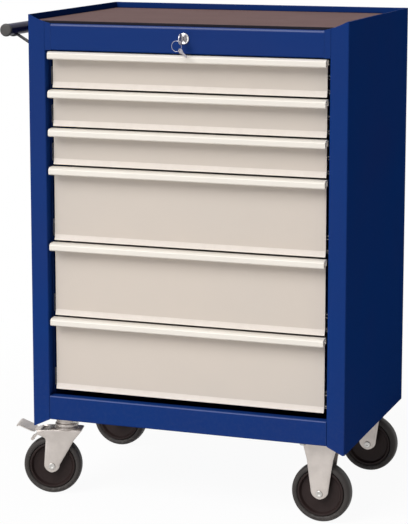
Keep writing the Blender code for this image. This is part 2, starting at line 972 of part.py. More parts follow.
def brake_pedal(side, middle):
    # A tread on a pin between the fork's ears, with a shoe that comes down on the tyre
    pivot_x = side - pedal_pivot_back
    barrel = turned(
        [
            (0, middle - pedal_pin_half),
            (pedal_pin_radius, middle - pedal_pin_half),
            (pedal_pin_radius, middle - pedal_barrel_half),
            (pedal_barrel_radius, middle - pedal_barrel_half),
            (pedal_barrel_radius, middle + pedal_barrel_half),
            (pedal_pin_radius, middle + pedal_barrel_half),
            (pedal_pin_radius, middle + pedal_pin_half),
            (0, middle + pedal_pin_half),
        ],
        "Y", (pivot_x, pedal_pivot_height), round_count,
    )
    wheel_centre = Vector((side - caster_trail, axle_height))
    outward = Vector((-math.sin(shoe_angle), math.cos(shoe_angle)))
    shoe_centre = wheel_centre + outward * (wheel_radius + shoe_clear + shoe_radius)
    shoe = rod(shoe_radius, "Y", shoe_centre, middle - shoe_half, middle + shoe_half, round_count)
    pivot = Vector((pivot_x, pedal_pivot_height))
    across = (shoe_centre - pivot).orthogonal().normalized() * (shoe_web / 2)
    web = [pivot + across, shoe_centre + across, shoe_centre - across, pivot - across]
    web_form = prism(web, "Y", middle - tread_arm_half + gap, middle + tread_arm_half - gap)
    root = Vector((side - tread_root, pedal_pivot_height - tread_root_fall))
    tip = Vector((side - tread_tip, pedal_pivot_height + tread_rise))
    arm = folded([(pivot_x, pedal_pivot_height), root], tread_sheet, [])
    arm_form = prism(arm, "Y", middle - tread_arm_half, middle + tread_arm_half)
    tread = folded(
        [root + Vector((tread_sheet, 0)), tip, tip - Vector((tread_lip, tread_lip))],
        tread_sheet,
        [bend],
    )
    tread_form = prism(tread, "Y", middle - tread_half, middle + tread_half)
    return fused([barrel, shoe, web_form, arm_form, tread_form])


def build_shell(cabinet, finishes):
    blue = finishes["blue"]
    right = side_panel()
    add_piece("right_side_panel", right, blue, cabinet)
    add_piece("left_side_panel", mirrored(right), blue, cabinet)
    add_piece("back_panel", back_panel(), blue, cabinet)
    add_piece("bottom_panel", bottom_panel(), blue, cabinet)
    add_piece("front_bottom_rail", front_bottom_rail(), blue, cabinet)
    add_piece("top_panel", top_panel(), blue, cabinet)
    add_piece("top_mat", top_mat(), finishes["mat"], cabinet)
    frame = slide_frame()
    add_piece("right_slide_frame", frame, finishes["zinc"], cabinet)
    add_piece("left_slide_frame", mirrored(frame), finishes["zinc"], cabinet)


def build_handle(cabinet, finishes):
    add_piece("handle_tube", handle_tube(), finishes["blue_gloss"], cabinet)
    ends = {"front": (handle_front, -1), "rear": (handle_back, 1)}
    for name, (end, outward) in ends.items():
        add_piece("handle_cap_" + name, handle_cap(end, outward), finishes["grey_plastic"], cabinet)
        bracket = handle_bracket(end - outward * bracket_inset)
        add_piece("handle_bracket_" + name, bracket, finishes["black_metal"], cabinet)


def build_lock(cabinet, finishes):
    chrome = finishes["chrome"]
    add_piece("lock_barrel", lock_barrel(), chrome, cabinet)
    lock = make_body("lock", (0, 0, lock_height))
    add_piece("lock_plug", lock_plug(), chrome, lock)
    add_piece("key", key(), finishes["steel"], lock)
    ring = make_body("key_ring", (0, -bow_hole_forward, ring_pivot_height))
    add_piece("key_ring", key_ring(), finishes["steel"], ring)


def build_drawers(finishes):
    for number, (pull_top, front_bottom) in enumerate(zip(pull_tops, front_bottoms), 1):
        name = f"drawer_{number}"
        drawer = make_body(name, (0, 0, front_bottom))
        add_piece(name + "_tray", drawer_tray(pull_top, front_bottom), finishes["cream"], drawer)
        add_piece(name + "_pull", drawer_pull(pull_top), finishes["aluminium"], drawer)
        member = slide_channel(
            slide_middle_edge, slide_middle_web, slide_height - 2 * (slide_sheet + gap), slide_sheet,
            front_bottom + slide_lift, liner_front + play, liner_front + play + slide_length,
        )
        for side, form in {"right": member, "left": mirrored(member)}.items():
            slide = make_body(f"{name}_slide_{side}", (0, 0, front_bottom + slide_lift))
            add_piece(f"{name}_slide_{side}", form, finishes["zinc"], slide)


def build_rigid_caster(name, side, middle, cabinet, finishes):
    centre = (side, axle_height)
    wheel = make_body(name + "_wheel", (side, middle, axle_height))
    add_piece(name + "_bracket", rigid_bracket(side, middle), finishes["zinc"], cabinet)
    add_piece(name + "_axle", caster_axle(centre, middle), finishes["zinc"], cabinet)
    add_piece(name + "_wheel", caster_wheel(centre, middle), finishes["rubber"], wheel)


def build_swivel_caster(name, side, middle, angle, cabinet, finishes):
    # The fork, its wheel and its pedal stand swivelled together by the angle
    pivot = Vector((side, middle, 0))
    turn = Matrix.Rotation(angle, 3, "Z")
    wheel_place = pivot + turn @ Vector((-caster_trail, 0, axle_height))
    pedal_place = pivot + turn @ Vector((-pedal_pivot_back, 0, pedal_pivot_height))
    centre = (side - caster_trail, axle_height)
    fork = make_body(name, pivot)
    wheel = make_body(name + "_wheel", wheel_place)
    pedal = make_body(name + "_pedal", pedal_place)
    add_piece(name + "_plate", swivel_plate(side, middle), finishes["zinc"], cabinet)
    zinc = finishes["zinc"]
    rubber = finishes["rubber"]
    add_piece(name + "_fork", swivelled(swivel_fork(side, middle), pivot, turn), zinc, fork)
    add_piece(name + "_axle", swivelled(caster_axle(centre, middle), pivot, turn), zinc, fork)
    add_piece(name + "_wheel", swivelled(caster_wheel(centre, middle), pivot, turn), rubber, wheel)
    add_piece(name + "_pedal", swivelled(brake_pedal(side, middle), pivot, turn), zinc, pedal)


def build_casters(cabinet, finishes):
    for place, middle in caster_depths.items():
        build_rigid_caster(place + "_right_caster", rigid_side, middle, cabinet, finishes)
        angle = fork_angles[place]
        build_swivel_caster(place + "_left_caster", -swivel_side, middle, angle, cabinet, finishes)


def main():
    for item in list(bpy.data.objects):
        bpy.data.objects.remove(item)
    finishes = {
        "blue": make_material("blue_paint", (0.013, 0.042, 0.195), 0.42, 0),
        "blue_gloss": make_material("blue_gloss_paint", (0.013, 0.030, 0.130), 0.15, 0),
        "cream": make_material("cream_paint", (0.610, 0.546, 0.479), 0.45, 0),
        "aluminium": make_material("aluminium", (0.860, 0.840, 0.790), 0.32, 1),
        "zinc": make_material("zinc_plate", (0.560, 0.550, 0.530), 0.38, 1),
        "chrome": make_material("chrome", (0.780, 0.780, 0.780), 0.15, 1),
        "steel": make_material("steel", (0.600, 0.590, 0.560), 0.30, 1),
        "black_metal": make_material("black_paint", (0.030, 0.028, 0.032), 0.40, 0),
        "grey_plastic": make_material("grey_plastic", (0.070, 0.065, 0.060), 0.50, 0),
        "mat": make_material("brown_grey_rubber", (0.190, 0.130, 0.125), 0.80, 0),
        "rubber": make_material("dark_rubber", (0.026, 0.021, 0.020), 0.70, 0),
    }
    cabinet = make_body("cabinet")
    build_shell(cabinet, finishes)
    build_handle(cabinet, finishes)
    build_lock(cabinet, finishes)
    build_drawers(finishes)
    build_casters(cabinet, finishes)


main()
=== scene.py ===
import json
import math

import bmesh
import bpy
from mathutils import Matrix, Vector

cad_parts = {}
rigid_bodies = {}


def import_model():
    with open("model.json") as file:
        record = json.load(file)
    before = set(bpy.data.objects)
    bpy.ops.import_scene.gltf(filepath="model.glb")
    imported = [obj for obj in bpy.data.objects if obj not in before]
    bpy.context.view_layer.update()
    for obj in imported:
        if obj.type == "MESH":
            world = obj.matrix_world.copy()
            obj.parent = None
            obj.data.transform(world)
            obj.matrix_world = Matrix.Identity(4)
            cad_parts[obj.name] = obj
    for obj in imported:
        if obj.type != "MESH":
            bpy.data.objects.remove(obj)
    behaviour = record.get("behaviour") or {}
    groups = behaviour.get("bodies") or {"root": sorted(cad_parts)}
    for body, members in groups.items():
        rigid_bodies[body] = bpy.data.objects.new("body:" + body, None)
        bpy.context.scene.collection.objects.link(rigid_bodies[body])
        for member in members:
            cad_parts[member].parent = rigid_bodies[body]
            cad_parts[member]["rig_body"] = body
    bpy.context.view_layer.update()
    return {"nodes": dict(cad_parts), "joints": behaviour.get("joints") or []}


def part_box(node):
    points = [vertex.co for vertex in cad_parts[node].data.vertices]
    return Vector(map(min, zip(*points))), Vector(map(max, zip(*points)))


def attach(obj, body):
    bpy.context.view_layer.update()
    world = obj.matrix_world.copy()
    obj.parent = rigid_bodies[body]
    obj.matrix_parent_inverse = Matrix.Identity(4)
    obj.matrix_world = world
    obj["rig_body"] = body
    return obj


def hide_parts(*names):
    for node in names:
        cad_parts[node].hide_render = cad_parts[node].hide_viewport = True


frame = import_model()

# measures that the pieces share, read from the solids
matLow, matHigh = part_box("top_mat")
centreX = (matLow.x + matHigh.x) / 2
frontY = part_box("right_side_panel")[0].y
drawerCount = sum(1 for node in frame["nodes"] if node.endswith("_pull"))


def addObject(name, data):
    thing = bpy.data.objects.new(name, data)
    bpy.context.scene.collection.objects.link(thing)
    return thing


# the camera stands where the photograph was taken from, measured from the cabinet's front middle
cameraSetup = {"place": (1.3371, -3.6232, 1.2747), "turn": (80.618, 0.0, 19.662), "lens": 133.39,
               "shift": -0.10}

cameraData = bpy.data.cameras.new("Camera")
cameraData.lens = cameraSetup["lens"]
cameraData.sensor_width = 36
cameraData.shift_y = cameraSetup["shift"]
camera = addObject("Camera", cameraData)
camera.location = Vector((centreX, frontY, 0)) + Vector(cameraSetup["place"])
camera.rotation_euler = [math.radians(angle) for angle in cameraSetup["turn"]]
bpy.context.scene.camera = camera
bpy.context.scene.view_settings.view_transform = "Standard"


# mesh tools
def placePiece(name, mesh, materials, body, smoothAngle=35, replaced=()):
    # the place is in the mesh, so the object itself stays at the origin
    mesh.name = name
    mesh.shade_smooth()
    mesh.set_sharp_from_angle(angle=math.radians(smoothAngle))
    for material in materials:
        mesh.materials.append(material)
    piece = addObject(name, mesh)
    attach(piece, body)
    if replaced:
        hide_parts(*replaced)
    return piece


def toMesh(work):
    bmesh.ops.recalc_face_normals(work, faces=work.faces)
    mesh = bpy.data.meshes.new("shape")
    work.to_mesh(mesh)
    work.free()
    return mesh


def joined(meshes):
    # several closed shells kept as one mesh
    work = bmesh.new()
    for mesh in meshes:
        work.from_mesh(mesh)
        bpy.data.meshes.remove(mesh)
    mesh = bpy.data.meshes.new("shape")
    work.to_mesh(mesh)
    work.free()
    return mesh


def onAxis(axis, first, second, along):
    if axis == "X":
        return Vector((along, first, second))
    if axis == "Y":
        return Vector((first, along, second))
    return Vector((first, second, along))


def evaluatedMesh(thing):
    bpy.context.view_layer.update()
    return bpy.data.meshes.new_from_object(thing.evaluated_get(bpy.context.evaluated_depsgraph_get()))


def arcPoints(centre, radius, start, end, steps):
    # an arc about a centre, from one angle to another in degrees
    angles = [math.radians(start + (end - start) * step / steps) for step in range(steps + 1)]
    return [(centre[0] + radius * math.cos(angle), centre[1] + radius * math.sin(angle)) for angle in angles]


def circlePoints(centre, radius, count):
    return arcPoints(centre, radius, 0, 360, count)[:-1]


def cornerArc(corner, back, ahead, turn, radius, steps):
    # the arc that rounds a corner; back and ahead are unit vectors along its edges
    reach = radius * math.tan(turn / 2)
    centre = corner + (back + ahead).normalized() * (radius / math.cos(turn / 2))
    first = corner + back * reach - centre
    last = corner + ahead * reach - centre
    shares = [step / steps for step in range(steps + 1)]
    return [centre + (first * math.sin((1 - share) * turn) + last * math.sin(share * turn)) / math.sin(turn)
            for share in shares]


def roundedPath(points, radii, steps=6):
    # every inner corner of an open path becomes an arc of its own radius
    result = [Vector(points[0])]
    for before, corner, after, radius in zip(points, points[1:], points[2:], radii):
        corner = Vector(corner)
        back = (Vector(before) - corner).normalized()
        ahead = (Vector(after) - corner).normalized()
        turn = back.angle(-ahead)
        if radius == 0 or turn < 0.01:
            result.append(corner)
        else:
            result += cornerArc(corner, back, ahead, turn, radius, steps)
    result.append(Vector(points[-1]))
    return result


def foldedSheet(points, thickness, radii, steps=6):
    # outline of a bent sheet; a positive thickness lies on the path's left
    path = roundedPath(points, radii, steps)
    runs = [(after - before).normalized() for before, after in zip(path, path[1:])]
    inner = []
    for index, point in enumerate(path):
        arriving = runs[max(index - 1, 0)]
        leaving = runs[min(index, len(runs) - 1)]
        normal = Vector((-leaving.y, leaving.x))
        mitre = (normal + Vector((-arriving.y, arriving.x))).normalized()
        inner.append(point + mitre * (thickness / mitre.dot(normal)))
    return path + inner[::-1]


def softened(outline, radius, steps=3):
    # a closed outline with each corner rounded as far as its edges allow
    result = []
    for index, point in enumerate(outline):
        corner = Vector(point)
        back = Vector(outline[index - 1]) - corner
        ahead = Vector(outline[(index + 1) % len(outline)]) - corner
        turn = back.angle(-ahead)
        if turn < 0.15:
            result.append(corner)
            continue
        reach = min(radius * math.tan(turn / 2), back.length * 0.45, ahead.length * 0.45)
        real = reach / math.tan(turn / 2)
        result += cornerArc(corner, back.normalized(), ahead.normalized(), turn, real, steps)
    return result


def prismMesh(outline, axis, start, end):
    work = bmesh.new()
    rings = [[work.verts.new(onAxis(axis, a, b, along)) for a, b in outline] for along in (start, end)]
    count = len(outline)
    for index in range(count):
        after = (index + 1) % count
        work.faces.new((rings[0][index], rings[0][after], rings[1][after], rings[1][index]))
    for ring in rings:
        work.faces.new(ring)
    bmesh.ops.triangulate(work, faces=[face for face in work.faces if len(face.verts) > 4])
    return toMesh(work)


def turnedMesh(profile, axis, centre, steps=64):
    # a closed profile of (radius, along) turned about an axis; radius 0 closes on the axis
    work = bmesh.new()
    rings = []
    for radius, along in profile:
        if radius < 1e-7:
            rings.append([work.verts.new(onAxis(axis, centre[0], centre[1], along))])
            continue
        ring = []
        for step in range(steps):
            angle = 2 * math.pi * step / steps
            first = centre[0] + radius * math.cos(angle)
            second = centre[1] + radius * math.sin(angle)
            ring.append(work.verts.new(onAxis(axis, first, second, along)))
        rings.append(ring)
    for current, following in zip(rings, rings[1:] + rings[:1]):
        if len(current) == 1 and len(following) == 1:
            continue
        for step in range(steps):
            after = (step + 1) % steps
            corners = [current[step % len(current)], current[after % len(current)],
                       following[after % len(following)], following[step % len(following)]]
            work.faces.new(list(dict.fromkeys(corners)))
    return toMesh(work)


def flatPlate(outlines, thickness, bevel, place):
    # a filled flat curve, holes and all, raised to a plate with rounded edges
    curve = bpy.data.curves.new("plate", "CURVE")
    curve.dimensions = "2D"
    curve.fill_mode = "BOTH"
    curve.extrude = thickness / 2 - bevel
    curve.bevel_depth = bevel
    curve.bevel_resolution = 1
    curve.offset = -bevel
    for outline in outlines:
        spline = curve.splines.new("POLY")
        spline.points.add(len(outline) - 1)
        for point, (x, y) in zip(spline.points, outline):
            point.co = (x, y, 0, 1)
        spline.use_cyclic_u = True
    holder = addObject("plate", curve)
    mesh = evaluatedMesh(holder)
    bpy.data.objects.remove(holder)
    bpy.data.curves.remove(curve)
    mesh.materials.clear()
    work = bmesh.new()
    work.from_mesh(mesh)
    bpy.data.meshes.remove(mesh)
    bmesh.ops.remove_doubles(work, verts=work.verts, dist=0.00001)
    bmesh.ops.transform(work, matrix=place, verts=work.verts)
    return toMesh(work)


def finishEdges(piece, width, angle=40, slotIndex=-1):
    # rounded sheet edges with flat faces kept flat
    bevel = piece.modifiers.new("edges", "BEVEL")
    bevel.width = width
    bevel.segments = 2
    bevel.limit_method = "ANGLE"
    bevel.angle_limit = math.radians(angle)
    # where a slot is given, the bevel faces take its finish; on the cabinet and drawers that is a lighter
    # paint, partly edge wear and partly painted highlight
    if slotIndex >= 0:
        bevel.material = slotIndex
    weighted = piece.modifiers.new("normals", "WEIGHTED_NORMAL")
    weighted.keep_sharp = False
    weighted.weight = 80


def dressNode(node, materials, edgeWidth=0.0004, smoothAngle=35):
    # a merged copy of a solid that stands for it with rounded edges and smooth bends
    solid = frame["nodes"][node]
    work = bmesh.new()
    work.from_mesh(solid.data)
    bmesh.ops.remove_doubles(work, verts=work.verts, dist=0.00001)
    bmesh.ops.dissolve_limit(work, angle_limit=math.radians(0.8), verts=work.verts, edges=work.edges)
    mesh = bpy.data.meshes.new(node)
    work.to_mesh(mesh)
    work.free()
    piece = placePiece(node + "_dressed", mesh, materials, solid["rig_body"], smoothAngle, (node,))
    if edgeWidth:
        finishEdges(piece, edgeWidth, slotIndex=len(materials) - 1)
    return piece


# shader groups that several finishes share
def newNode(tree, kind, place, values=None, **settings):
    # settings are the node's own options, values are what its sockets hold
    node = tree.nodes.new(kind)
    node.location = place
    for name, value in settings.items():
        setattr(node, name, value)
    for label, value in (values or {}).items():
        node.inputs[label].default_value = value
    return node


def wire(tree, joins):
    # each join is a node and its output, then a node and its input
    for source, output, target, entry in joins:
        tree.links.new(source.outputs[output], target.inputs[entry])


def groupOf(treeKind, name, inputs, outputs):
    # an empty node group with its named sockets, each a label, a kind and perhaps a value
    tree = bpy.data.node_groups.new(name, treeKind)
    for way, sockets in (("INPUT", inputs), ("OUTPUT", outputs)):
        for label, kind, *value in sockets:
            socket = tree.interface.new_socket(name=label, in_out=way, socket_type="NodeSocket" + kind)
            if value:
                socket.default_value = value[0]
    return tree, newNode(tree, "NodeGroupInput", (-900, 0)), newNode(tree, "NodeGroupOutput", (900, 0))


def buildMottle():
    # slow drift of a colour towards a second shade
    tree, start, end = groupOf("ShaderNodeTree", "colour drift", [
        ("Coordinates", "Vector"), ("Colour", "Color", (0.5, 0.5, 0.5, 1)),
        ("Shade", "Color", (0.4, 0.4, 0.4, 1)), ("Scale", "Float", 4.0), ("Amount", "Float", 0.5),
    ], [("Colour", "Color"), ("Mask", "Float")])
    noise = newNode(tree, "ShaderNodeTexNoise", (-450, 0), {"Detail": 3})
    spread = newNode(tree, "ShaderNodeMapRange", (-220, 0), {"From Min": 0.35, "From Max": 0.65})
    strength = newNode(tree, "ShaderNodeMath", (0, 0), operation="MULTIPLY")
    blend = newNode(tree, "ShaderNodeMix", (220, 0), data_type="RGBA")
    wire(tree, [
        (start, "Coordinates", noise, "Vector"), (start, "Scale", noise, "Scale"),
        (noise, "Fac", spread, "Value"), (spread, "Result", strength, 0), (start, "Amount", strength, 1),
        (strength, 0, blend, "Factor"), (start, "Colour", blend, 6), (start, "Shade", blend, 7),
        (blend, 2, end, "Colour"), (spread, "Result", end, "Mask"),
    ])
    return tree


def buildPowderCoat():
    # the fine orange peel of a baked powder coat, with a roughness that follows it
    tree, start, end = groupOf("ShaderNodeTree", "powder coat", [
        ("Coordinates", "Vector"), ("Grain", "Float", 900.0), ("Roughness", "Float", 0.4),
        ("Spread", "Float", 0.08),
    ], [("Height", "Float"), ("Roughness", "Float")])
    peel = newNode(tree, "ShaderNodeTexNoise", (-450, 150), {"Detail": 2})
    broad = newNode(tree, "ShaderNodeTexNoise", (-450, -150), {"Scale": 14, "Detail": 4})
    centred = newNode(tree, "ShaderNodeMath", (-220, -150), {1: 0.5}, operation="SUBTRACT")
    spread = newNode(tree, "ShaderNodeMath", (0, -150), operation="MULTIPLY_ADD")
    wire(tree, [
        (start, "Coordinates", peel, "Vector"), (start, "Coordinates", broad, "Vector"),
        (start, "Grain", peel, "Scale"), (broad, "Fac", centred, 0), (centred, 0, spread, 0),
        (start, "Spread", spread, 1), (start, "Roughness", spread, 2), (peel, "Fac", end, "Height"),
        (spread, 0, end, "Roughness"),
    ])
    return tree


def buildDrawnGrain():
    # long fine lines left by drawing, rolling or brushing metal
    tree, start, end = groupOf("ShaderNodeTree", "drawn grain", [
        ("Coordinates", "Vector"), ("Stretch", "Vector", (4, 900, 900)), ("Roughness", "Float", 0.3),
        ("Spread", "Float", 0.15),
    ], [("Height", "Float"), ("Roughness", "Float")])
    stretched = newNode(tree, "ShaderNodeVectorMath", (-450, 0), operation="MULTIPLY")
    lines = newNode(tree, "ShaderNodeTexNoise", (-220, 0), {"Scale": 1, "Detail": 3})
    centred = newNode(tree, "ShaderNodeMath", (0, -150), {1: 0.5}, operation="SUBTRACT")
    spread = newNode(tree, "ShaderNodeMath", (220, -150), operation="MULTIPLY_ADD")
    wire(tree, [
        (start, "Coordinates", stretched, 0), (start, "Stretch", stretched, 1),
        (stretched, 0, lines, "Vector"), (lines, "Fac", centred, 0), (centred, 0, spread, 0),
        (start, "Spread", spread, 1), (start, "Roughness", spread, 2), (lines, "Fac", end, "Height"),
        (spread, 0, end, "Roughness"),
    ])
    return tree


def buildGrime():
    # handling marks and floor dust, thicker near the floor
    tree, start, end = groupOf("ShaderNodeTree", "floor dust", [
        ("Coordinates", "Vector"), ("Colour", "Color", (0.5, 0.5, 0.5, 1)),
        ("Dust", "Color", (0.35, 0.33, 0.3, 1)), ("Top", "Float", 0.2), ("Amount", "Float", 0.2),
    ], [("Colour", "Color")])
    parts = newNode(tree, "ShaderNodeSeparateXYZ", (-700, -150))
    fall = newNode(tree, "ShaderNodeMapRange", (-500, -150), {
        "From Min": 0.0, "To Min": 1.0, "To Max": 0.0,
    }, interpolation_type="SMOOTHSTEP")
    speck = newNode(tree, "ShaderNodeTexNoise", (-500, 150), {"Scale": 160, "Detail": 5})
    patch = newNode(tree, "ShaderNodeMapRange", (-280, 150), {"From Min": 0.45, "From Max": 0.75})
    layered = newNode(tree, "ShaderNodeMath", (-60, 0), operation="MULTIPLY")
    strength = newNode(tree, "ShaderNodeMath", (120, 0), operation="MULTIPLY")
    blend = newNode(tree, "ShaderNodeMix", (300, 0), data_type="RGBA")
    wire(tree, [
        (start, "Coordinates", parts, 0), (start, "Coordinates", speck, "Vector"),
        (parts, "Z", fall, "Value"), (start, "Top", fall, "From Max"), (speck, "Fac", patch, "Value"),
        (fall, "Result", layered, 0), (patch, "Result", layered, 1), (layered, 0, strength, 0),
        (start, "Amount", strength, 1), (strength, 0, blend, "Factor"), (start, "Colour", blend, 6),
        (start, "Dust", blend, 7), (blend, 2, end, "Colour"),
    ])
    return tree


mottleGroup = buildMottle()
powderGroup = buildPowderCoat()
grainGroup = buildDrawnGrain()
grimeGroup = buildGrime()
print("Shader groups built")


def buildFinish(name, look):
    # one material from a dictionary: colour drift, dust, then powder coat or drawn grain
    material = bpy.data.materials.new(name)
    material.use_nodes = True
    tree = material.node_tree
    shader = tree.nodes["Principled BSDF"]
    links = tree.links
    place = newNode(tree, "ShaderNodeTexCoord", (-1200, 0))
    coordinates = place.outputs["Object"]
    drift = newNode(tree, "ShaderNodeGroup", (-900, 200), {
        "Colour": (*look["colour"], 1), "Shade": (*look["shade"], 1), "Scale": look["driftScale"],
        "Amount": look["drift"],
    }, node_tree=mottleGroup)
    links.new(coordinates, drift.inputs["Coordinates"])
    colour = drift.outputs["Colour"]
    if look["dust"]:
        dust = newNode(tree, "ShaderNodeGroup", (-600, 200), {
            "Dust": (*look["dustColour"], 1), "Top": look["dustTop"], "Amount": look["dust"],
        }, node_tree=grimeGroup)
        links.new(coordinates, dust.inputs["Coordinates"])
        links.new(colour, dust.inputs["Colour"])
        colour = dust.outputs["Colour"]
    links.new(colour, shader.inputs["Base Color"])
    if "stretch" in look:
        surface = newNode(tree, "ShaderNodeGroup", (-600, -200), {
            "Stretch": look["stretch"],
        }, node_tree=grainGroup)
    else:
        surface = newNode(tree, "ShaderNodeGroup", (-600, -200), {
            "Grain": look["grain"],
        }, node_tree=powderGroup)
    surface.inputs["Roughness"].default_value = look["roughness"]
    surface.inputs["Spread"].default_value = look["spread"]
    links.new(coordinates, surface.inputs["Coordinates"])
    links.new(surface.outputs["Roughness"], shader.inputs["Roughness"])
    bump = newNode(tree, "ShaderNodeBump", (-300, -300), {
        "Strength": look["bump"], "Distance": look["bumpDepth"],
    })
    links.new(surface.outputs["Height"], bump.inputs["Height"])
    links.new(bump.outputs["Normal"], shader.inputs["Normal"])
    shader.inputs["Metallic"].default_value = look["metallic"]
    shader.inputs["Specular IOR Level"].default_value = look["specular"]
    shader.inputs["Coat Weight"].default_value = look["coat"]
    if look["gloss"]:
        # satin gloss that fades where the sheet is seen edge on
        facing = newNode(tree, "ShaderNodeLayerWeight", (-600, -500))
        fade = newNode(tree, "ShaderNodeMapRange", (-300, -500), {
            "From Min": 0.0, "From Max": 0.5, "To Min": look["gloss"], "To Max": 0.0,
        }, interpolation_type="SMOOTHSTEP")
        links.new(facing.outputs["Facing"], fade.inputs["Value"])
        links.new(fade.outputs["Result"], shader.inputs["Coat Weight"])
    shader.inputs["Coat Roughness"].default_value = look["coatRoughness"]
    material.diffuse_color = (*look["colour"], 1)
    return material


finishDefaults = {
    "spread": 0.12, "bumpDepth": 0.0002, "metallic": 0.0, "specular": 0.5, "gloss": 0.0, "coat": 0.0,
    "coatRoughness": 0.1, "dust": 0.0,
}
finishes = {
    "cabinetBlue": {
        "colour": (0.0055, 0.033, 0.168), "shade": (0.0100, 0.031, 0.155), "driftScale": 3.5, "drift": 0.7,
        "grain": 1300, "roughness": 0.42, "spread": 0.10, "bump": 0.25,
        "specular": 0.0, "gloss": 0.10, "coatRoughness": 0.30, "dust": 0.10,
        "dustColour": (0.10, 0.11, 0.16), "dustTop": 0.45,
    },
    # a lighter, glossier copy of the blue paint for the front bends: painted highlight
    "cabinetBluePaintedHighlight": {
        "colour": (0.012, 0.040, 0.185), "shade": (0.018, 0.040, 0.170), "driftScale": 3.5, "drift": 0.7,
        "grain": 1300, "roughness": 0.34, "spread": 0.10, "bump": 0.2, "specular": 0.30,
    },
    # lighter blue for the bevelled sheet edges: partly edge wear, partly painted highlight
    "cabinetBlueEdgeWearAndHighlight": {
        "colour": (0.020, 0.065, 0.270), "shade": (0.045, 0.085, 0.260), "driftScale": 40, "drift": 0.6,
        "grain": 1300, "roughness": 0.38, "spread": 0.10, "bump": 0.2, "specular": 0.16,
    },
    "drawerCream": {
        "colour": (0.625, 0.555, 0.490), "shade": (0.590, 0.535, 0.480), "driftScale": 2.6, "drift": 0.8,
        "grain": 1200, "roughness": 0.48, "spread": 0.10, "bump": 0.22, "specular": 0.3,
    },
    # lighter cream for the bevelled edges, partly edge wear and partly painted highlight, and for the front's
    # foot hem, a painted highlight
    "drawerCreamEdgeWearAndHighlight": {
        "colour": (0.775, 0.710, 0.650), "shade": (0.715, 0.650, 0.590), "driftScale": 60, "drift": 0.5,
        "grain": 1200, "roughness": 0.42, "spread": 0.10, "bump": 0.2, "specular": 0.4,
    },
    "pullAluminium": {
        "colour": (0.80, 0.755, 0.685), "shade": (0.74, 0.70, 0.64), "driftScale": 6, "drift": 0.5,
        "stretch": (6, 1400, 1400), "roughness": 0.45, "spread": 0.16, "bump": 0.12, "bumpDepth": 0.0001,
        "metallic": 0.10, "specular": 0.3,
    },
    "handleBlue": {
        "colour": (0.012, 0.012, 0.060), "shade": (0.020, 0.016, 0.066), "driftScale": 12, "drift": 0.6,
        "grain": 900, "roughness": 0.30, "spread": 0.08, "bump": 0.05, "bumpDepth": 0.0001,
        "specular": 0.02, "coat": 0.16, "coatRoughness": 0.08,
    },
    "bracketBlack": {
        "colour": (0.022, 0.021, 0.025), "shade": (0.034, 0.032, 0.036), "driftScale": 30, "drift": 0.6,
        "grain": 1500, "roughness": 0.45, "bump": 0.25, "specular": 0.4,
    },
    "capPlastic": {
        "colour": (0.055, 0.052, 0.050), "shade": (0.075, 0.070, 0.066), "driftScale": 60, "drift": 0.5,
        "grain": 2200, "roughness": 0.55, "bump": 0.30, "specular": 0.4,
    },
    "matRubber": {
        "colour": (0.168, 0.104, 0.100), "shade": (0.147, 0.092, 0.088), "driftScale": 7, "drift": 0.7,
        "grain": 1100, "roughness": 0.82, "bump": 0.60, "bumpDepth": 0.0004, "specular": 0.10,
    },
    "tyreRubber": {
        "colour": (0.038, 0.033, 0.031), "shade": (0.050, 0.045, 0.042), "driftScale": 30, "drift": 0.6,
        "grain": 1600, "roughness": 0.55, "spread": 0.14, "bump": 0.35, "bumpDepth": 0.0003, "specular": 0.22,
        "dust": 0.5, "dustColour": (0.16, 0.15, 0.14), "dustTop": 0.05,
    },
    "wheelCore": {
        "colour": (0.021, 0.013, 0.012), "shade": (0.029, 0.019, 0.018), "driftScale": 40, "drift": 0.6,
        "grain": 1300, "roughness": 0.46, "spread": 0.14, "bump": 0.25, "specular": 0.14,
    },
    "zincSteel": {
        "colour": (0.560, 0.510, 0.475), "shade": (0.480, 0.437, 0.405), "driftScale": 45, "drift": 0.8,
        "grain": 700, "roughness": 0.46, "spread": 0.22, "bump": 0.18, "metallic": 0.75,
    },
    "boltSteel": {
        "colour": (0.560, 0.545, 0.520), "shade": (0.440, 0.425, 0.400), "driftScale": 120, "drift": 0.7,
        "grain": 1400, "roughness": 0.38, "spread": 0.20, "bump": 0.15, "metallic": 0.9,
    },
    "slideSteel": {
        "colour": (0.600, 0.595, 0.580), "shade": (0.500, 0.495, 0.485), "driftScale": 25, "drift": 0.7,
        "stretch": (900, 5, 900), "roughness": 0.36, "spread": 0.22, "bump": 0.15, "bumpDepth": 0.0001,
        "metallic": 0.95,
    },
    "lockChrome": {
        "colour": (0.620, 0.610, 0.605), "shade": (0.520, 0.510, 0.510), "driftScale": 150, "drift": 0.4,
        "stretch": (60, 60, 60), "roughness": 0.16, "spread": 0.10, "bump": 0.05, "bumpDepth": 0.0001,
        "metallic": 1.0,
    },
    "keySteel": {
        "colour": (0.470, 0.450, 0.480), "shade": (0.360, 0.340, 0.390), "driftScale": 200, "drift": 0.6,
        "stretch": (300, 300, 1800), "roughness": 0.30, "spread": 0.16, "bump": 0.15, "bumpDepth": 0.0001,
        "metallic": 1.0,
    },
    # near-black for places that lie in shade: painted shade
    "paintedShadeBlack": {
        "colour": (0.010, 0.009, 0.014), "shade": (0.016, 0.014, 0.020), "driftScale": 30, "drift": 0.5,
        "grain": 1500, "roughness": 0.70, "bump": 0.2, "specular": 0.08,
    },
    "linerRubber": {
        "colour": (0.040, 0.041, 0.044), "shade": (0.030, 0.031, 0.033), "driftScale": 14, "drift": 0.6,
        "grain": 1500, "roughness": 0.72, "bump": 0.40, "bumpDepth": 0.0003, "specular": 0.3,
    },
}
made = {name: buildFinish(name, {**finishDefaults, **look}) for name, look in finishes.items()}
print("Finishes built:", len(made))

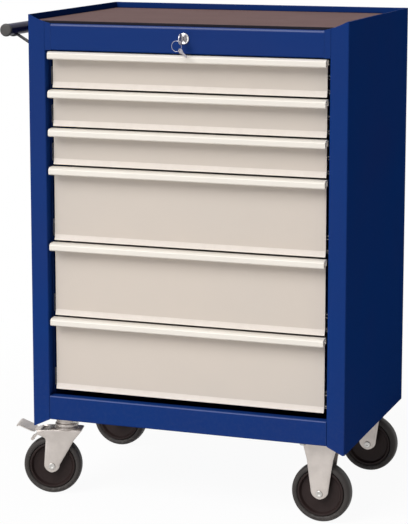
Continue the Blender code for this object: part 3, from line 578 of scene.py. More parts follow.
# lights and ground: a pale studio that stays white for the camera and for reflections
studio = {
    "ambient": 0.20, "ambientColour": (1.0, 0.965, 0.95), "floorSize": 9.0, "floorDrop": 0.0005,
    "floorColour": (0.92, 0.915, 0.91), "floorRoughness": 0.9, "floorSpecular": 0.1, "floorShade": 0.05,
    "shadeReach": 1.7, "shadeNear": 0.35, "sunFrom": (-0.42, -0.90, 0.97), "sunSpread": 38, "sun": 2.56,
    "lamps": [
        ("fillLamp", (-1.2, -3.2, 0.25), (0, 0, 0.30), 1.6, 12),
        ("topLamp", (0.0, -0.3, 3.4), (0, 0, 0.5), 2.6, 4),
    ],
}


def buildWorld():
    world = bpy.data.worlds.new("Studio")
    bpy.context.scene.world = world
    world.use_nodes = True
    tree = world.node_tree
    tree.nodes.clear()
    output = newNode(tree, "ShaderNodeOutputWorld", (600, 0))
    rays = newNode(tree, "ShaderNodeLightPath", (-600, 200))
    seen = newNode(tree, "ShaderNodeMath", (-350, 200), operation="MAXIMUM")
    seenToo = newNode(tree, "ShaderNodeMath", (-150, 200), operation="MAXIMUM")
    soft = newNode(tree, "ShaderNodeBackground", (-150, 0),
                   {"Color": (*studio["ambientColour"], 1), "Strength": studio["ambient"]})
    white = newNode(tree, "ShaderNodeBackground", (-150, -150), {"Color": (1, 1, 1, 1), "Strength": 1.0})
    blend = newNode(tree, "ShaderNodeMixShader", (300, 0))
    wire(tree, [
        (rays, "Is Camera Ray", seen, 0), (rays, "Is Glossy Ray", seen, 1), (seen, 0, seenToo, 0),
        (rays, "Is Transmission Ray", seenToo, 1), (seenToo, 0, blend, "Fac"), (soft, 0, blend, 1),
        (white, 0, blend, 2), (blend, 0, output, "Surface"),
    ])


def addLamp(name, place, aim, size, power):
    lampData = bpy.data.lights.new(name, "AREA")
    lampData.shape = "DISK"
    lampData.size = size
    lampData.energy = power
    lamp = addObject(name, lampData)
    lamp.location = place
    lamp.rotation_euler = (Vector(aim) - Vector(place)).to_track_quat("-Z", "Y").to_euler()


def buildFloor():
    # a white floor that keeps the cart's shadow near it and runs out to plain white
    material = bpy.data.materials.new("studioFloor")
    material.use_nodes = True
    tree = material.node_tree
    shader = tree.nodes["Principled BSDF"]
    output = tree.nodes["Material Output"]
    shader.inputs["Base Color"].default_value = (*studio["floorColour"], 1)
    shader.inputs["Roughness"].default_value = studio["floorRoughness"]
    shader.inputs["Specular IOR Level"].default_value = studio["floorSpecular"]
    rays = newNode(tree, "ShaderNodeLightPath", (-600, 300))
    seen = newNode(tree, "ShaderNodeMath", (-400, 300), operation="MAXIMUM")
    place = newNode(tree, "ShaderNodeTexCoord", (-1000, -100))
    away = newNode(tree, "ShaderNodeVectorMath", (-800, -100), operation="LENGTH")
    ramp = newNode(tree, "ShaderNodeMapRange", (-600, -100), {
        "From Min": studio["shadeReach"] * studio["shadeNear"], "From Max": studio["shadeReach"],
        "To Min": 1 - studio["floorShade"], "To Max": 1.0,
    }, interpolation_type="SMOOTHSTEP")
    share = newNode(tree, "ShaderNodeMath", (-200, 300), operation="MULTIPLY")
    wire(tree, [
        (place, "Object", away, 0), (away, "Value", ramp, "Value"), (ramp, "Result", share, 1),
    ])
    white = newNode(tree, "ShaderNodeEmission", (0, -300), {"Color": (1, 1, 1, 1)})
    blend = newNode(tree, "ShaderNodeMixShader", (300, 0))
    wire(tree, [
        (rays, "Is Camera Ray", seen, 0), (rays, "Is Glossy Ray", seen, 1), (seen, 0, share, 0),
        (share, 0, blend, "Fac"), (shader, 0, blend, 1), (white, 0, blend, 2),
        (blend, 0, output, "Surface"),
    ])
    work = bmesh.new()
    bmesh.ops.create_grid(work, x_segments=1, y_segments=1, size=studio["floorSize"])
    mesh = bpy.data.meshes.new("studio_floor")
    work.to_mesh(mesh)
    work.free()
    mesh.materials.append(material)
    floor = addObject("studio_floor", mesh)
    floor.location = (0, 0, -studio["floorDrop"])


buildWorld()
for lampSetup in studio["lamps"]:
    addLamp(*lampSetup)
sunData = bpy.data.lights.new("keySun", "SUN")
sunData.energy = studio["sun"]
sunData.angle = math.radians(studio["sunSpread"])
keySun = addObject("keySun", sunData)
keySun.rotation_euler = (-Vector(studio["sunFrom"])).to_track_quat("-Z", "Y").to_euler()
buildFloor()
print("Studio set")


# Geometry Nodes for what repeats
def inputOf(tree, label):
    for item in tree.interface.items_tree:
        if item.item_type == "SOCKET" and item.in_out == "INPUT" and item.name == label:
            return item.identifier
    raise KeyError(label)


def treeOf(name, inputs):
    shape = [("Geometry", "Geometry")]
    return groupOf("GeometryNodeTree", name, shape + inputs, shape)


def closeTree(tree, start, end, geometry):
    # every tree ends as real, painted mesh
    real = newNode(tree, "GeometryNodeRealizeInstances", (500, 0))
    paint = newNode(tree, "GeometryNodeSetMaterial", (700, 0))
    tree.links.new(geometry, real.inputs[0])
    wire(tree, [
        (real, 0, paint, "Geometry"), (start, "Finish", paint, "Material"), (paint, 0, end, "Geometry"),
    ])


def buildFastenerTree():
    # one fastener on every vertex, turned to the axis and by a seeded amount about it
    tree, start, end = treeOf("fasteners", [
        ("Fastener", "Object"), ("Size", "Float", 1.0), ("Facing", "Rotation"), ("Seed", "Int", 7),
        ("Finish", "Material"),
    ])
    pattern = newNode(tree, "GeometryNodeObjectInfo", (-600, -200))
    turn = newNode(tree, "FunctionNodeRandomValue", (-600, -450), {3: math.pi}, data_type="FLOAT")
    axis = newNode(tree, "ShaderNodeCombineXYZ", (-400, -450))
    spin = newNode(tree, "FunctionNodeEulerToRotation", (-200, -450))
    combined = newNode(tree, "FunctionNodeRotateRotation", (0, -400), rotation_space="LOCAL")
    spread = newNode(tree, "GeometryNodeInstanceOnPoints", (250, 0))
    wire(tree, [
        (start, "Geometry", spread, "Points"), (start, "Fastener", pattern, "Object"),
        (pattern, "Geometry", spread, "Instance"), (start, "Seed", turn, "Seed"), (turn, 1, axis, "Z"),
        (axis, 0, spin, 0), (start, "Facing", combined, "Rotation"), (spin, 0, combined, "Rotate By"),
        (combined, 0, spread, "Rotation"), (start, "Size", spread, "Scale"),
    ])
    closeTree(tree, start, end, spread.outputs[0])
    return tree


def buildBallTree():
    # a row of balls a pitch apart, starting at each vertex
    tree, start, end = treeOf("slide balls", [
        ("Count", "Int", 10), ("Pitch", "Float", 0.012), ("Radius", "Float", 0.0014),
        ("Finish", "Material"),
    ])
    step = newNode(tree, "ShaderNodeCombineXYZ", (-600, -200))
    row = newNode(tree, "GeometryNodeMeshLine", (-350, -100))
    ball = newNode(tree, "GeometryNodeMeshIcoSphere", (-350, -350), {"Subdivisions": 2})
    smooth = newNode(tree, "GeometryNodeSetShadeSmooth", (-150, -350))
    rows = newNode(tree, "GeometryNodeInstanceOnPoints", (-100, 0))
    flat = newNode(tree, "GeometryNodeRealizeInstances", (50, 0))
    balls = newNode(tree, "GeometryNodeInstanceOnPoints", (250, 0))
    wire(tree, [
        (start, "Pitch", step, "Y"), (start, "Count", row, "Count"), (step, 0, row, "Offset"),
        (start, "Geometry", rows, "Points"), (row, 0, rows, "Instance"), (rows, 0, flat, 0),
        (flat, 0, balls, "Points"), (start, "Radius", ball, "Radius"), (ball, 0, smooth, 0),
        (smooth, 0, balls, "Instance"),
    ])
    closeTree(tree, start, end, balls.outputs[0])
    return tree


def buildRibTree():
    # a thin sheet on the vertex with fine ribs along X, a pitch apart
    tree, start, end = treeOf("ribbed liner", [
        ("Width", "Float", 0.5), ("Length", "Float", 0.4), ("Thickness", "Float", 0.001),
        ("Pitch", "Float", 0.006), ("Rib Height", "Float", 0.0006), ("Finish", "Material"),
    ])
    sheetSize = newNode(tree, "ShaderNodeCombineXYZ", (-650, 150))
    sheet = newNode(tree, "GeometryNodeMeshCube", (-450, 150))
    ribWidth = newNode(tree, "ShaderNodeMath", (-650, -50), {1: 0.5}, operation="MULTIPLY")
    ribSize = newNode(tree, "ShaderNodeCombineXYZ", (-450, -50))
    rib = newNode(tree, "GeometryNodeMeshCube", (-250, -50))
    ratio = newNode(tree, "ShaderNodeMath", (-650, -250), operation="DIVIDE")
    count = newNode(tree, "ShaderNodeMath", (-450, -250), operation="FLOOR")
    half = newNode(tree, "ShaderNodeMath", (-450, -400), {1: -0.5}, operation="MULTIPLY_ADD")
    shift = newNode(tree, "ShaderNodeMath", (-250, -400), {1: 0.5}, operation="MULTIPLY")
    rowStart = newNode(tree, "ShaderNodeCombineXYZ", (-50, -400))
    step = newNode(tree, "ShaderNodeCombineXYZ", (-50, -550))
    lift = newNode(tree, "ShaderNodeMath", (-250, -700), {1: 0.5}, operation="MULTIPLY")
    row = newNode(tree, "GeometryNodeMeshLine", (150, -350))
    ribs = newNode(tree, "GeometryNodeInstanceOnPoints", (300, -100))
    both = newNode(tree, "GeometryNodeJoinGeometry", (380, 100))
    spread = newNode(tree, "GeometryNodeInstanceOnPoints", (440, 250))
    wire(tree, [
        (start, "Width", sheetSize, "X"), (start, "Length", sheetSize, "Y"),
        (start, "Thickness", sheetSize, "Z"), (sheetSize, 0, sheet, "Size"),
        (start, "Pitch", ribWidth, 0), (start, "Width", ribSize, "X"), (ribWidth, 0, ribSize, "Y"),
        (start, "Rib Height", ribSize, "Z"), (ribSize, 0, rib, "Size"), (start, "Length", ratio, 0),
        (start, "Pitch", ratio, 1), (ratio, 0, count, 0), (start, "Length", half, 0),
        (start, "Pitch", shift, 0), (shift, 0, half, 2), (half, 0, rowStart, "Y"),
        (start, "Thickness", lift, 0), (lift, 0, rowStart, "Z"), (start, "Pitch", step, "Y"),
        (count, 0, row, "Count"), (rowStart, 0, row, "Start Location"), (step, 0, row, "Offset"),
        (row, 0, ribs, "Points"), (rib, 0, ribs, "Instance"), (sheet, 0, both, 0), (ribs, 0, both, 0),
        (start, "Geometry", spread, "Points"), (both, 0, spread, "Instance"),
    ])
    closeTree(tree, start, end, spread.outputs[0])
    return tree


def buildCoilTree():
    # a split ring: wire wound twice round and pressed together
    tree, start, end = treeOf("split ring", [
        ("Radius", "Float", 0.01), ("Wire", "Float", 0.0005), ("Finish", "Material"),
    ])
    turns = newNode(tree, "GeometryNodeCurveSpiral", (-500, 0), {"Resolution": 64, "Rotations": 2})
    rise = newNode(tree, "ShaderNodeMath", (-700, -250), {1: 3.2}, operation="MULTIPLY")
    section = newNode(tree, "GeometryNodeCurvePrimitiveCircle", (-500, -350), {"Resolution": 10})
    coil = newNode(tree, "GeometryNodeCurveToMesh", (-250, 0), {"Fill Caps": True})
    smooth = newNode(tree, "GeometryNodeSetShadeSmooth", (-50, 0))
    spread = newNode(tree, "GeometryNodeInstanceOnPoints", (200, 0))
    wire(tree, [
        (start, "Radius", turns, "Start Radius"), (start, "Radius", turns, "End Radius"),
        (start, "Wire", rise, 0), (rise, 0, turns, "Height"), (start, "Wire", section, "Radius"),
        (turns, 0, coil, "Curve"), (section, 0, coil, "Profile Curve"), (coil, 0, smooth, 0),
        (start, "Geometry", spread, "Points"), (smooth, 0, spread, "Instance"),
    ])
    closeTree(tree, start, end, spread.outputs[0])
    return tree


fastenerTree = buildFastenerTree()
ballTree = buildBallTree()
ribTree = buildRibTree()
coilTree = buildCoilTree()


def grow(name, places, tree, values, material, body, replaced=(), turned=None):
    # runs a tree on loose vertices and keeps the result as plain mesh
    seedMesh = bpy.data.meshes.new(name + "_places")
    seedMesh.from_pydata([tuple(place) for place in places], [], [])
    seed = addObject(name + "_places", seedMesh)
    modifier = seed.modifiers.new("nodes", "NODES")
    modifier.node_group = tree
    for label, value in values.items():
        modifier[inputOf(tree, label)] = value
    modifier[inputOf(tree, "Finish")] = material
    mesh = evaluatedMesh(seed)
    seed.modifiers.clear()
    bpy.data.objects.remove(seed)
    mesh.materials.clear()
    if turned is not None:
        mesh.transform(turned)
    return placePiece(name, mesh, [material], body, 40, replaced)


print("Node trees built")


# cabinet shell: the solids' own forms with rounded sheet edges
def sideOf(piece, chooser):
    # each face takes the material that the chooser gives the number of
    for face in piece.data.polygons:
        face.material_index = int(chooser(face.center, face.normal))


shell = {
    "edge": 0.0004, "matEdge": 0.0012, "bendFrom": {"top_panel": 0.97, "front_bottom_rail": 0.10},
    "bendTilt": (0.12, 0.97),
    "nodes": ["right_side_panel", "left_side_panel", "back_panel", "bottom_panel", "front_bottom_rail",
              "top_panel"],
}
for node in shell["nodes"]:
    finish = [made["cabinetBlue"], made["cabinetBluePaintedHighlight"], made["cabinetBlueEdgeWearAndHighlight"]]
    shellPiece = dressNode(node, finish, shell["edge"])
    if node in shell["bendFrom"]:
        # the sheet's bends along the front edge take a lighter, glossier copy of the paint: a painted
        # highlight
        lowest, (least, most) = shell["bendFrom"][node], shell["bendTilt"]
        sideOf(shellPiece, lambda middle, normal: least < normal.z < most and middle.z > lowest)
dressNode("top_mat", [made["matRubber"], made["matRubber"]], shell["matEdge"])

# a near-black strip between the front rim and the mat stands for the shadowed gap there: painted shade
matShadeStrip = {"front": 0.0035, "depth": 0.0042, "proud": 0.0046, "sunk": 0.0006, "inset": 0.012, "lean": 0.0012,
          "round": 0.0010}
matShadeStripFront, matShadeStripBack = frontY + matShadeStrip["front"], frontY + matShadeStrip["front"] + matShadeStrip["depth"]
matShadeStripFoot, matShadeStripTop = matLow.z - matShadeStrip["sunk"], matLow.z + matShadeStrip["proud"]
matShadeStripOutline = softened([(matShadeStripFront, matShadeStripFoot), (matShadeStripBack, matShadeStripFoot), (matShadeStripBack, matShadeStripTop),
                          (matShadeStripFront + matShadeStrip["lean"], matShadeStripTop)], matShadeStrip["round"])
matShadeStripMesh = prismMesh(matShadeStripOutline, "X", matLow.x + matShadeStrip["inset"], matHigh.x - matShadeStrip["inset"])
placePiece("mat_edging", matShadeStripMesh, [made["paintedShadeBlack"]], "cabinet", 30)
print("Cabinet shell dressed")

# inner walls are painted, the fixed slide members on them are bare steel
slides = {"edge": 0.0002, "wallFace": 0.3002, "ballRadius": 0.0014, "ballPitch": 0.0125, "ballCount": 15,
          "ballLift": 0.0137, "ballX": 0.2925, "memberInside": 0.2880, "lift": 0.024, "firstBall": 0.016}
for side in ("left", "right"):
    wall = dressNode(side + "_slide_frame", [made["cabinetBlue"], made["slideSteel"]], 0)
    sideOf(wall, lambda middle, normal: abs(middle.x - centreX) < slides["wallFace"])
print("Inner walls dressed")

# drawers: cream tray and front, bare slide members, ribbed liner, rivets, aluminium pull
pull = {"height": 0.0165, "out": 0.006, "wall": 0.0018, "lip": 0.012, "crownOut": 0.0015, "crownDrop": 0.001,
        "hook": 0.003, "hookHeight": 0.002, "leg": 0.013, "back": 0.0167, "edge": 0.0003,
        "radii": [0.0012, 0.0028, 0.003, 0.003]}
drawer = {"edge": 0.0004, "half": 0.288, "front": 0.0195, "back": 0.440, "hemDepth": 0.005, "hemLean": 0.12,
          "forward": -0.5}
liner = {"pitch": 0.006, "thickness": 0.001, "rib": 0.0006, "wall": 0.0012, "clear": 0.0006, "lift": 0.0051,
         "spare": 0.0010}
rivet = {"radius": 0.0032, "height": 0.0013, "depths": (0.06, 0.22, 0.38)}


def pullShape(top, start, end):
    face, foot = frontY - pull["out"], top - pull["height"]
    path = [(face + pull["hook"], foot), (face, foot + pull["hookHeight"]), (face, foot + pull["lip"]),
            (frontY - pull["crownOut"], top - pull["crownDrop"]), (frontY + pull["back"], top),
            (frontY + pull["back"], top - pull["leg"])]
    return prismMesh(foldedSheet(path, -pull["wall"], pull["radii"]), "X", start, end)


def domeHead(radius, height, recess):
    # a low domed head on +Z; with a recess it is a cross-head screw
    corners = [(0, 0), (radius, 0), (radius, height * 0.35), (radius * 0.72, height), (0, height)]
    profile = [(0, 0)] + softened(corners, height * 0.5, 2)[1:]
    pattern = addObject("fastenerPattern", turnedMesh(profile, "Z", (0, 0), 20))
    long, thin = radius * 1.1, radius * 0.22
    for size in ((long, thin, height), (thin, long, height)) if recess else ():
        work = bmesh.new()
        bmesh.ops.create_cube(work, size=1)
        bmesh.ops.scale(work, verts=work.verts, vec=size)
        bmesh.ops.translate(work, verts=work.verts, vec=(0, 0, height))
        cutter = addObject("cutter", toMesh(work))
        cut = pattern.modifiers.new("cut", "BOOLEAN")
        cut.operation = "DIFFERENCE"
        cut.object = cutter
        mesh = evaluatedMesh(pattern)
        pattern.modifiers.clear()
        pattern.data = mesh
        bpy.data.objects.remove(cutter)
    return pattern


def hexBolt(radius, height, washer, washerHeight, chamfer):
    # hexagon head with a chamfered top over a washer, on +Z
    disc = softened([(0, 0), (washer, 0), (washer, washerHeight), (0, washerHeight)], 0.0003, 1)
    foot, top = washerHeight * 0.5, washerHeight + height
    head = [(0, foot), (radius, foot), (radius, top - chamfer), (radius * 0.88, top), (0, top)]
    shells = [turnedMesh(disc, "Z", (0, 0), 24), turnedMesh(head, "Z", (0, 0), 6)]
    return addObject("fastenerPattern", joined(shells))


rivetHead = domeHead(rivet["radius"], rivet["height"], False)
trayFront, trayBack = frontY + drawer["front"], frontY + drawer["back"]
linerValues = {
    "Width": 2 * (drawer["half"] - liner["wall"] - liner["clear"]),
    "Length": trayBack - trayFront - 2 * (liner["wall"] + liner["clear"]) + liner["spare"],
    "Thickness": liner["thickness"], "Pitch": liner["pitch"], "Rib Height": liner["rib"],
}
ballValues = {"Count": slides["ballCount"], "Pitch": slides["ballPitch"], "Radius": slides["ballRadius"]}
for number in range(1, drawerCount + 1):
    body = f"drawer_{number}"
    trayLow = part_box(body + "_tray")[0]
    pullLow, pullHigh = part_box(body + "_pull")
    slideZ = trayLow.z + slides["lift"]

    def trayFinish(middle, normal, hemFrom=trayLow.y + drawer["hemDepth"]):
        # the hem at the front's foot leans back and takes the lighter cream: a painted highlight
        if normal.y < drawer["forward"] and normal.z > drawer["hemLean"] and middle.y < hemFrom:
            return 3
        # the members outside the tray are steel; their front ends, in the dark gap beside the front, are
        # near-black: painted shade
        if abs(middle.x - centreX) > slides["memberInside"] and middle.y > trayFront:
            return 2 if normal.y < drawer["forward"] else 1
        return 0

    trayFinishes = [made[name] for name in ("drawerCream", "slideSteel", "paintedShadeBlack", "drawerCreamEdgeWearAndHighlight")]
    sideOf(dressNode(body + "_tray", trayFinishes, drawer["edge"]), trayFinish)
    profile = placePiece(body + "_pull_profile", pullShape(pullHigh.z, pullLow.x, pullHigh.x),
                         [made["pullAluminium"]], body, 30, (body + "_pull",))
    finishEdges(profile, pull["edge"], 50)
    floorZ = trayLow.z + liner["lift"] + liner["wall"] + liner["thickness"] / 2
    grow(body + "_liner", [(centreX, (trayBack + trayFront) / 2, floorZ)], ribTree, linerValues,
         made["linerRubber"], body)
    for sign, side in ((-1, "left"), (1, "right")):
        slideBody = f"{body}_slide_{side}"
        dressNode(slideBody, [made["slideSteel"], made["slideSteel"]], slides["edge"])
        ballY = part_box(slideBody)[0].y + slides["firstBall"]
        rows = [(centreX + sign * slides["ballX"], ballY, slideZ + lift)
                for lift in (-slides["ballLift"], slides["ballLift"])]
        grow(slideBody + "_balls", rows, ballTree, ballValues, made["lockChrome"], slideBody)
        wall = centreX + sign * (drawer["half"] - liner["wall"])
        heads = [(wall, frontY + depth, slideZ) for depth in rivet["depths"]]
        grow(f"{body}_rivets_{side}", heads, fastenerTree,
             {"Fastener": rivetHead, "Facing": (0, -sign * math.pi / 2, 0), "Seed": number},
             made["boltSteel"], body)
print("Drawers dressed:", drawerCount)

# push handle: painted tube, plastic end caps, clamp brackets and their screws
handle = {"radius": 0.0125, "wall": 0.0017, "capRadius": 0.0135, "capLength": 0.006, "capRound": 0.004,
          "capPlug": 0.010, "capFit": 0.0003, "saddleRadius": 0.0155, "hookFrom": -166.1578,
          "hookTo": -57.2958, "strap": 0.0028, "drop": 0.0475, "flange": 0.0295, "bend": 0.004,
          "curl": 0.0003, "footRound": 0.006, "footPinch": 0.7,
          "screwRadius": 0.0045, "screwHeight": 0.0026, "screwSunk": 0.0004, "screwDrops": (0.0060, 0.0200)}
tubeLow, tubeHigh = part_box("handle_tube")
tubeX, tubeZ = (tubeLow.x + tubeHigh.x) / 2, (tubeLow.z + tubeHigh.z) / 2
bore = handle["radius"] - handle["wall"]
tubeProfile = [(bore, tubeLow.y), (handle["radius"], tubeLow.y), (handle["radius"], tubeHigh.y),
               (bore, tubeHigh.y)]
placePiece("handle_tube_painted", turnedMesh(tubeProfile, "Y", (tubeX, tubeZ), 72), [made["handleBlue"]],
           "cabinet", 30, ("handle_tube",))
for name, outward, end in (("front", -1, tubeLow.y), ("rear", 1, tubeHigh.y)):
    plug, rim = end - outward * handle["capPlug"], end + outward * handle["capFit"]
    roundAt = (handle["capRadius"] - handle["capRound"],
               end + outward * (handle["capLength"] - handle["capRound"]))
    cap = [(0, plug), (bore - handle["capFit"], plug), (bore - handle["capFit"], rim),
           (handle["capRadius"], rim), *arcPoints(roundAt, handle["capRound"], 0, 90 * outward, 6),
           (0, end + outward * handle["capLength"])]
    placePiece(f"handle_cap_{name}_moulded", turnedMesh(cap, "Y", (tubeX, tubeZ), 48), [made["capPlastic"]],
               "cabinet", 35, ("handle_cap_" + name,))


def strapMesh(rows, across, thickness, curl=0.0):
    # a pressed strip: each row is (middle line point, outward normal, low edge, high edge)
    shares = [0, 0.015, 0.05, 0.10, 0.25, 0.5, 0.75, 0.90, 0.95, 0.985, 1]
    work = bmesh.new()
    outer, inner = [], []
    for origin, normal, low, high in rows:
        edges = [max(0.0, (abs(share - 0.5) * 2 - 0.8) / 0.2) for share in shares]
        points = [origin + across * (low + (high - low) * share) - normal * curl * edge ** 2
                  for share, edge in zip(shares, edges)]
        outer.append([work.verts.new(point) for point in points])
        inner.append([work.verts.new(point - normal * thickness) for point in points])
    last = len(shares) - 1
    for row, after, under, underAfter in zip(outer, outer[1:], inner, inner[1:]):
        for step in range(last):
            work.faces.new((row[step], row[step + 1], after[step + 1], after[step]))
            work.faces.new((under[step], underAfter[step], underAfter[step + 1], under[step + 1]))
        for step in (0, last):
            work.faces.new((row[step], after[step], underAfter[step], under[step]))
    for row, under in ((outer[0], inner[0]), (outer[-1], inner[-1])):
        for step in range(last):
            work.faces.new((row[step], under[step], under[step + 1], row[step + 1]))
    return toMesh(work)


def pathRows(points, radii, widthAt, pitch=0.006):
    # rows along a rounded path of (x, z), with outward normals on the path's right
    path = roundedPath(points, radii)
    fine = []
    for before, after in zip(path, path[1:]):
        pieces = max(1, int((after - before).length / pitch))
        fine += [before.lerp(after, share / pieces) for share in range(pieces)]
    fine.append(path[-1])
    rows = []
    for index, point in enumerate(fine):
        run = fine[min(index + 1, len(fine) - 1)] - fine[max(index - 1, 0)]
        normal = Vector((run.y, 0, -run.x)).normalized()
        rows.append((Vector((point.x, 0, point.y)), normal, *widthAt(index / (len(fine) - 1), point)))
    return rows


screwHead = domeHead(handle["screwRadius"], handle["screwHeight"], True)
for name in ("front", "rear"):
    low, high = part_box("handle_bracket_" + name)
    middle, half = (low.y + high.y) / 2, (high.y - low.y) / 2
    elbow = tubeZ - handle["drop"]
    foot = elbow - handle["flange"]

    def strapWidth(share, point, middle=middle, half=half, foot=foot):
        # the flange's lower end is rounded
        near = max(0.0, 1 - (point.y - foot) / handle["footRound"])
        pinch = half * handle["footPinch"] * near ** 2
        return middle - half + pinch, middle + half - pinch

    # the strap hooks round the tube's underside, then runs straight to the flange
    face = high.x - handle["strap"]
    path = arcPoints((tubeX, tubeZ), handle["saddleRadius"], handle["hookFrom"], handle["hookTo"], 8)
    path += [(face, elbow), (face, foot)]
    rows = pathRows(path, [0] * 7 + [handle["bend"], handle["bend"]], strapWidth)
    strut = strapMesh(rows, Vector((0, 1, 0)), handle["strap"], handle["curl"])
    placePiece(f"handle_bracket_{name}_pressed", strut, [made["bracketBlack"]], "cabinet",
               35, ("handle_bracket_" + name,))
    heads = [(face + handle["screwSunk"], middle, elbow - drop) for drop in handle["screwDrops"]]
    grow(f"handle_screws_{name}", heads, fastenerTree,
         {"Fastener": screwHead, "Facing": (0, -math.pi / 2, 0), "Seed": 3},
         made["boltSteel"], "cabinet")
print("Push handle built")


def jointOf(name):
    return next(joint for joint in frame["joints"] if joint["name"] == name)


# lock with its key, split ring and spare key
lock = {"bezel": 0.0115, "thickness": 0.003, "barrel": 0.009, "bore": 0.006, "length": 0.026, "nut": 0.013,
        "nutFrom": 0.002, "nutTo": 0.006, "round": 0.0016, "chamfer": 0.0006, "seat": 0.0003,
        "plugEdge": 0.00025}
lockLow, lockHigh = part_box("lock_barrel")
lockZ = (lockLow.z + lockHigh.z) / 2
lockFront = frontY - lock["thickness"]
bezelProfile = [
    (lock["bore"], lockFront + lock["chamfer"]), (lock["bore"] + lock["chamfer"], lockFront),
    *arcPoints((lock["bezel"] - lock["round"], lockFront + lock["round"]), lock["round"], -90, 0, 6),
    (lock["bezel"], frontY - lock["seat"]), (lock["barrel"], frontY - lock["seat"]),
    (lock["barrel"], frontY + lock["nutFrom"]), (lock["nut"], frontY + lock["nutFrom"]),
    (lock["nut"], frontY + lock["nutTo"]), (lock["barrel"], frontY + lock["nutTo"]),
    (lock["barrel"], frontY + lock["length"]), (lock["bore"], frontY + lock["length"]),
]
placePiece("lock_bezel", turnedMesh(bezelProfile, "Y", (centreX, lockZ), 64), [made["lockChrome"]], "cabinet",
           35, ("lock_barrel",))
dressNode("lock_plug", [made["lockChrome"], made["lockChrome"]], lock["plugEdge"], 25)


def keyOutline(bowWidth, bowHeight, bladeHalf, bladeEnd, teeth):
    # bow round the origin, blade along +X; the teeth are notches in one edge
    start = math.asin(bladeHalf / bowHeight)
    angles = [start + (2 * math.pi - 2 * start) * step / 40 for step in range(41)]
    tip = [(bladeEnd - bladeHalf * 0.6, -bladeHalf), (bladeEnd, -bladeHalf * 0.3),
           (bladeEnd - 0.001, bladeHalf)]
    return ([(bowWidth * math.cos(angle), bowHeight * math.sin(angle)) for angle in angles]
            + [(along, depth - bladeHalf) for along, depth in teeth] + tip)


key = {"bowWidth": 0.0105, "bowHeight": 0.011, "reach": 0.030, "bladeHalf": 0.004, "bladeEnd": 0.010,
       "holeForward": 0.0235, "holeDrop": 0.005, "hole": 0.003, "thickness": 0.002, "bevel": 0.0003}
bowY = frontY - key["reach"] + key["bowWidth"]
keyTurn = Matrix(((0, 0, 1, 0), (1, 0, 0, 0), (0, 1, 0, 0), (0, 0, 0, 1)))
keyPlace = Matrix.Translation((centreX, bowY, lockZ)) @ keyTurn
keyBlank = keyOutline(key["bowWidth"], key["bowHeight"], key["bladeHalf"], frontY + key["bladeEnd"] - bowY,
                      [])
keyHole = circlePoints((frontY - key["holeForward"] - bowY, -key["holeDrop"]), key["hole"], 28)
placePiece("key_cut", flatPlate([keyBlank, keyHole], key["thickness"], key["bevel"], keyPlace),
           [made["keySteel"]], "lock", 35, ("key",))

ring = {"radius": 0.0105, "wire": 0.00045, "angle": math.radians(40), "forward": 1.6}
ringSide, ringDrop = ring["radius"] * math.sin(ring["angle"]), ring["radius"] * math.cos(ring["angle"])
ringCentre = Vector(jointOf("key_ring_swing")["pos_m"]) + Vector((-ringSide, 0, -ringDrop))
ringPlace = (Matrix.Translation(ringCentre + Vector((0, ring["wire"] * ring["forward"], 0)))
             @ Matrix.Rotation(math.pi / 2, 4, "X"))
grow("key_ring_coil", [(0, 0, 0)], coilTree, {"Radius": ring["radius"], "Wire": ring["wire"]},
     made["keySteel"],
     "key_ring", ("key_ring",), ringPlace)

spare = {"bow": 0.0062, "bladeHalf": 0.0027, "length": 0.0170, "thickness": 0.0018, "bevel": 0.00025,
         "lean": math.radians(47), "turn": math.radians(35), "holeAt": 0.0036, "hole": 0.0016,
         "slack": 0.0008,
         "teeth": [(0.0075, 0.0), (0.0083, 0.0010), (0.0098, 0.0010), (0.0106, 0.0003), (0.0116, 0.0014),
                   (0.0132, 0.0014), (0.0140, 0.0003), (0.0150, 0.0009)]}
along = Vector((math.sin(spare["lean"]), 0, -math.cos(spare["lean"])))
flat = Matrix.Rotation(spare["turn"], 3, along) @ Vector((0, -1, 0))
hang = Matrix((along, flat.cross(along), flat)).transposed().to_4x4()
hang.translation = ringCentre + Vector((ringSide, 0, -ringDrop)) + along * (spare["holeAt"] - spare["slack"])
spareBlank = keyOutline(spare["bow"], spare["bow"], spare["bladeHalf"], spare["length"], spare["teeth"])
spareHole = circlePoints((-spare["holeAt"], 0), spare["hole"], 20)
placePiece("spare_key", flatPlate([spareBlank, spareHole], spare["thickness"], spare["bevel"], hang),
           [made["keySteel"]], "key_ring", 35)
print("Lock, key and ring built")

# casters, each built about its wheel's centre with the axle along Y
wheel = {
    "radius": 0.0625, "segments": 96,
    "tyre": [(0.0480, 0.0105), (0.0498, 0.0120), (0.0506, 0.0145), (0.0520, 0.0157), (0.0545, 0.0160),
             (0.0575, 0.0152), (0.0600, 0.0130), (0.0614, 0.0098), (0.0620, 0.0055), (0.0621, 0.0008)],
    "core": [(0.0053, 0.0168), (0.0060, 0.0172), (0.0120, 0.0172), (0.0140, 0.0160), (0.0152, 0.0105),
             (0.0175, 0.0086), (0.0230, 0.0078), (0.0370, 0.0074), (0.0412, 0.0082), (0.0430, 0.0104),
             (0.0438, 0.0134), (0.0450, 0.0148), (0.0472, 0.0150), (0.0485, 0.0142), (0.0490, 0.0122),
             (0.0492, 0.0104)],
}
leg = {"face": 0.0217, "thickness": 0.0025, "curl": 0.0013, "bend": 0.005, "round": 0.008,
       "footTurn": math.radians(84)}
axle = {"radius": 0.005, "head": 0.0070, "height": 0.0029, "round": 0.0016, "dimple": 0.0022,
        "dimpleRim": 0.0034, "dimpleDepth": 0.0010, "seat": 0.0002}
rigid = {"top": 0.0373, "neck": 0.0275, "neckDrop": 0.0358, "foot": 0.0185, "footRise": 0.007,
         "plate": 0.1695, "gap": 0.0001}
plate = {"length": 0.084, "width": 0.076, "corner": 0.008, "thickness": 0.004, "top": 0.1735, "bevel": 0.0005,
         "boltX": 0.0335, "boltY": 0.0295}
bolt = {"radius": 0.0062, "height": 0.0042, "washer": 0.0082, "washerHeight": 0.0012, "chamfer": 0.0008}
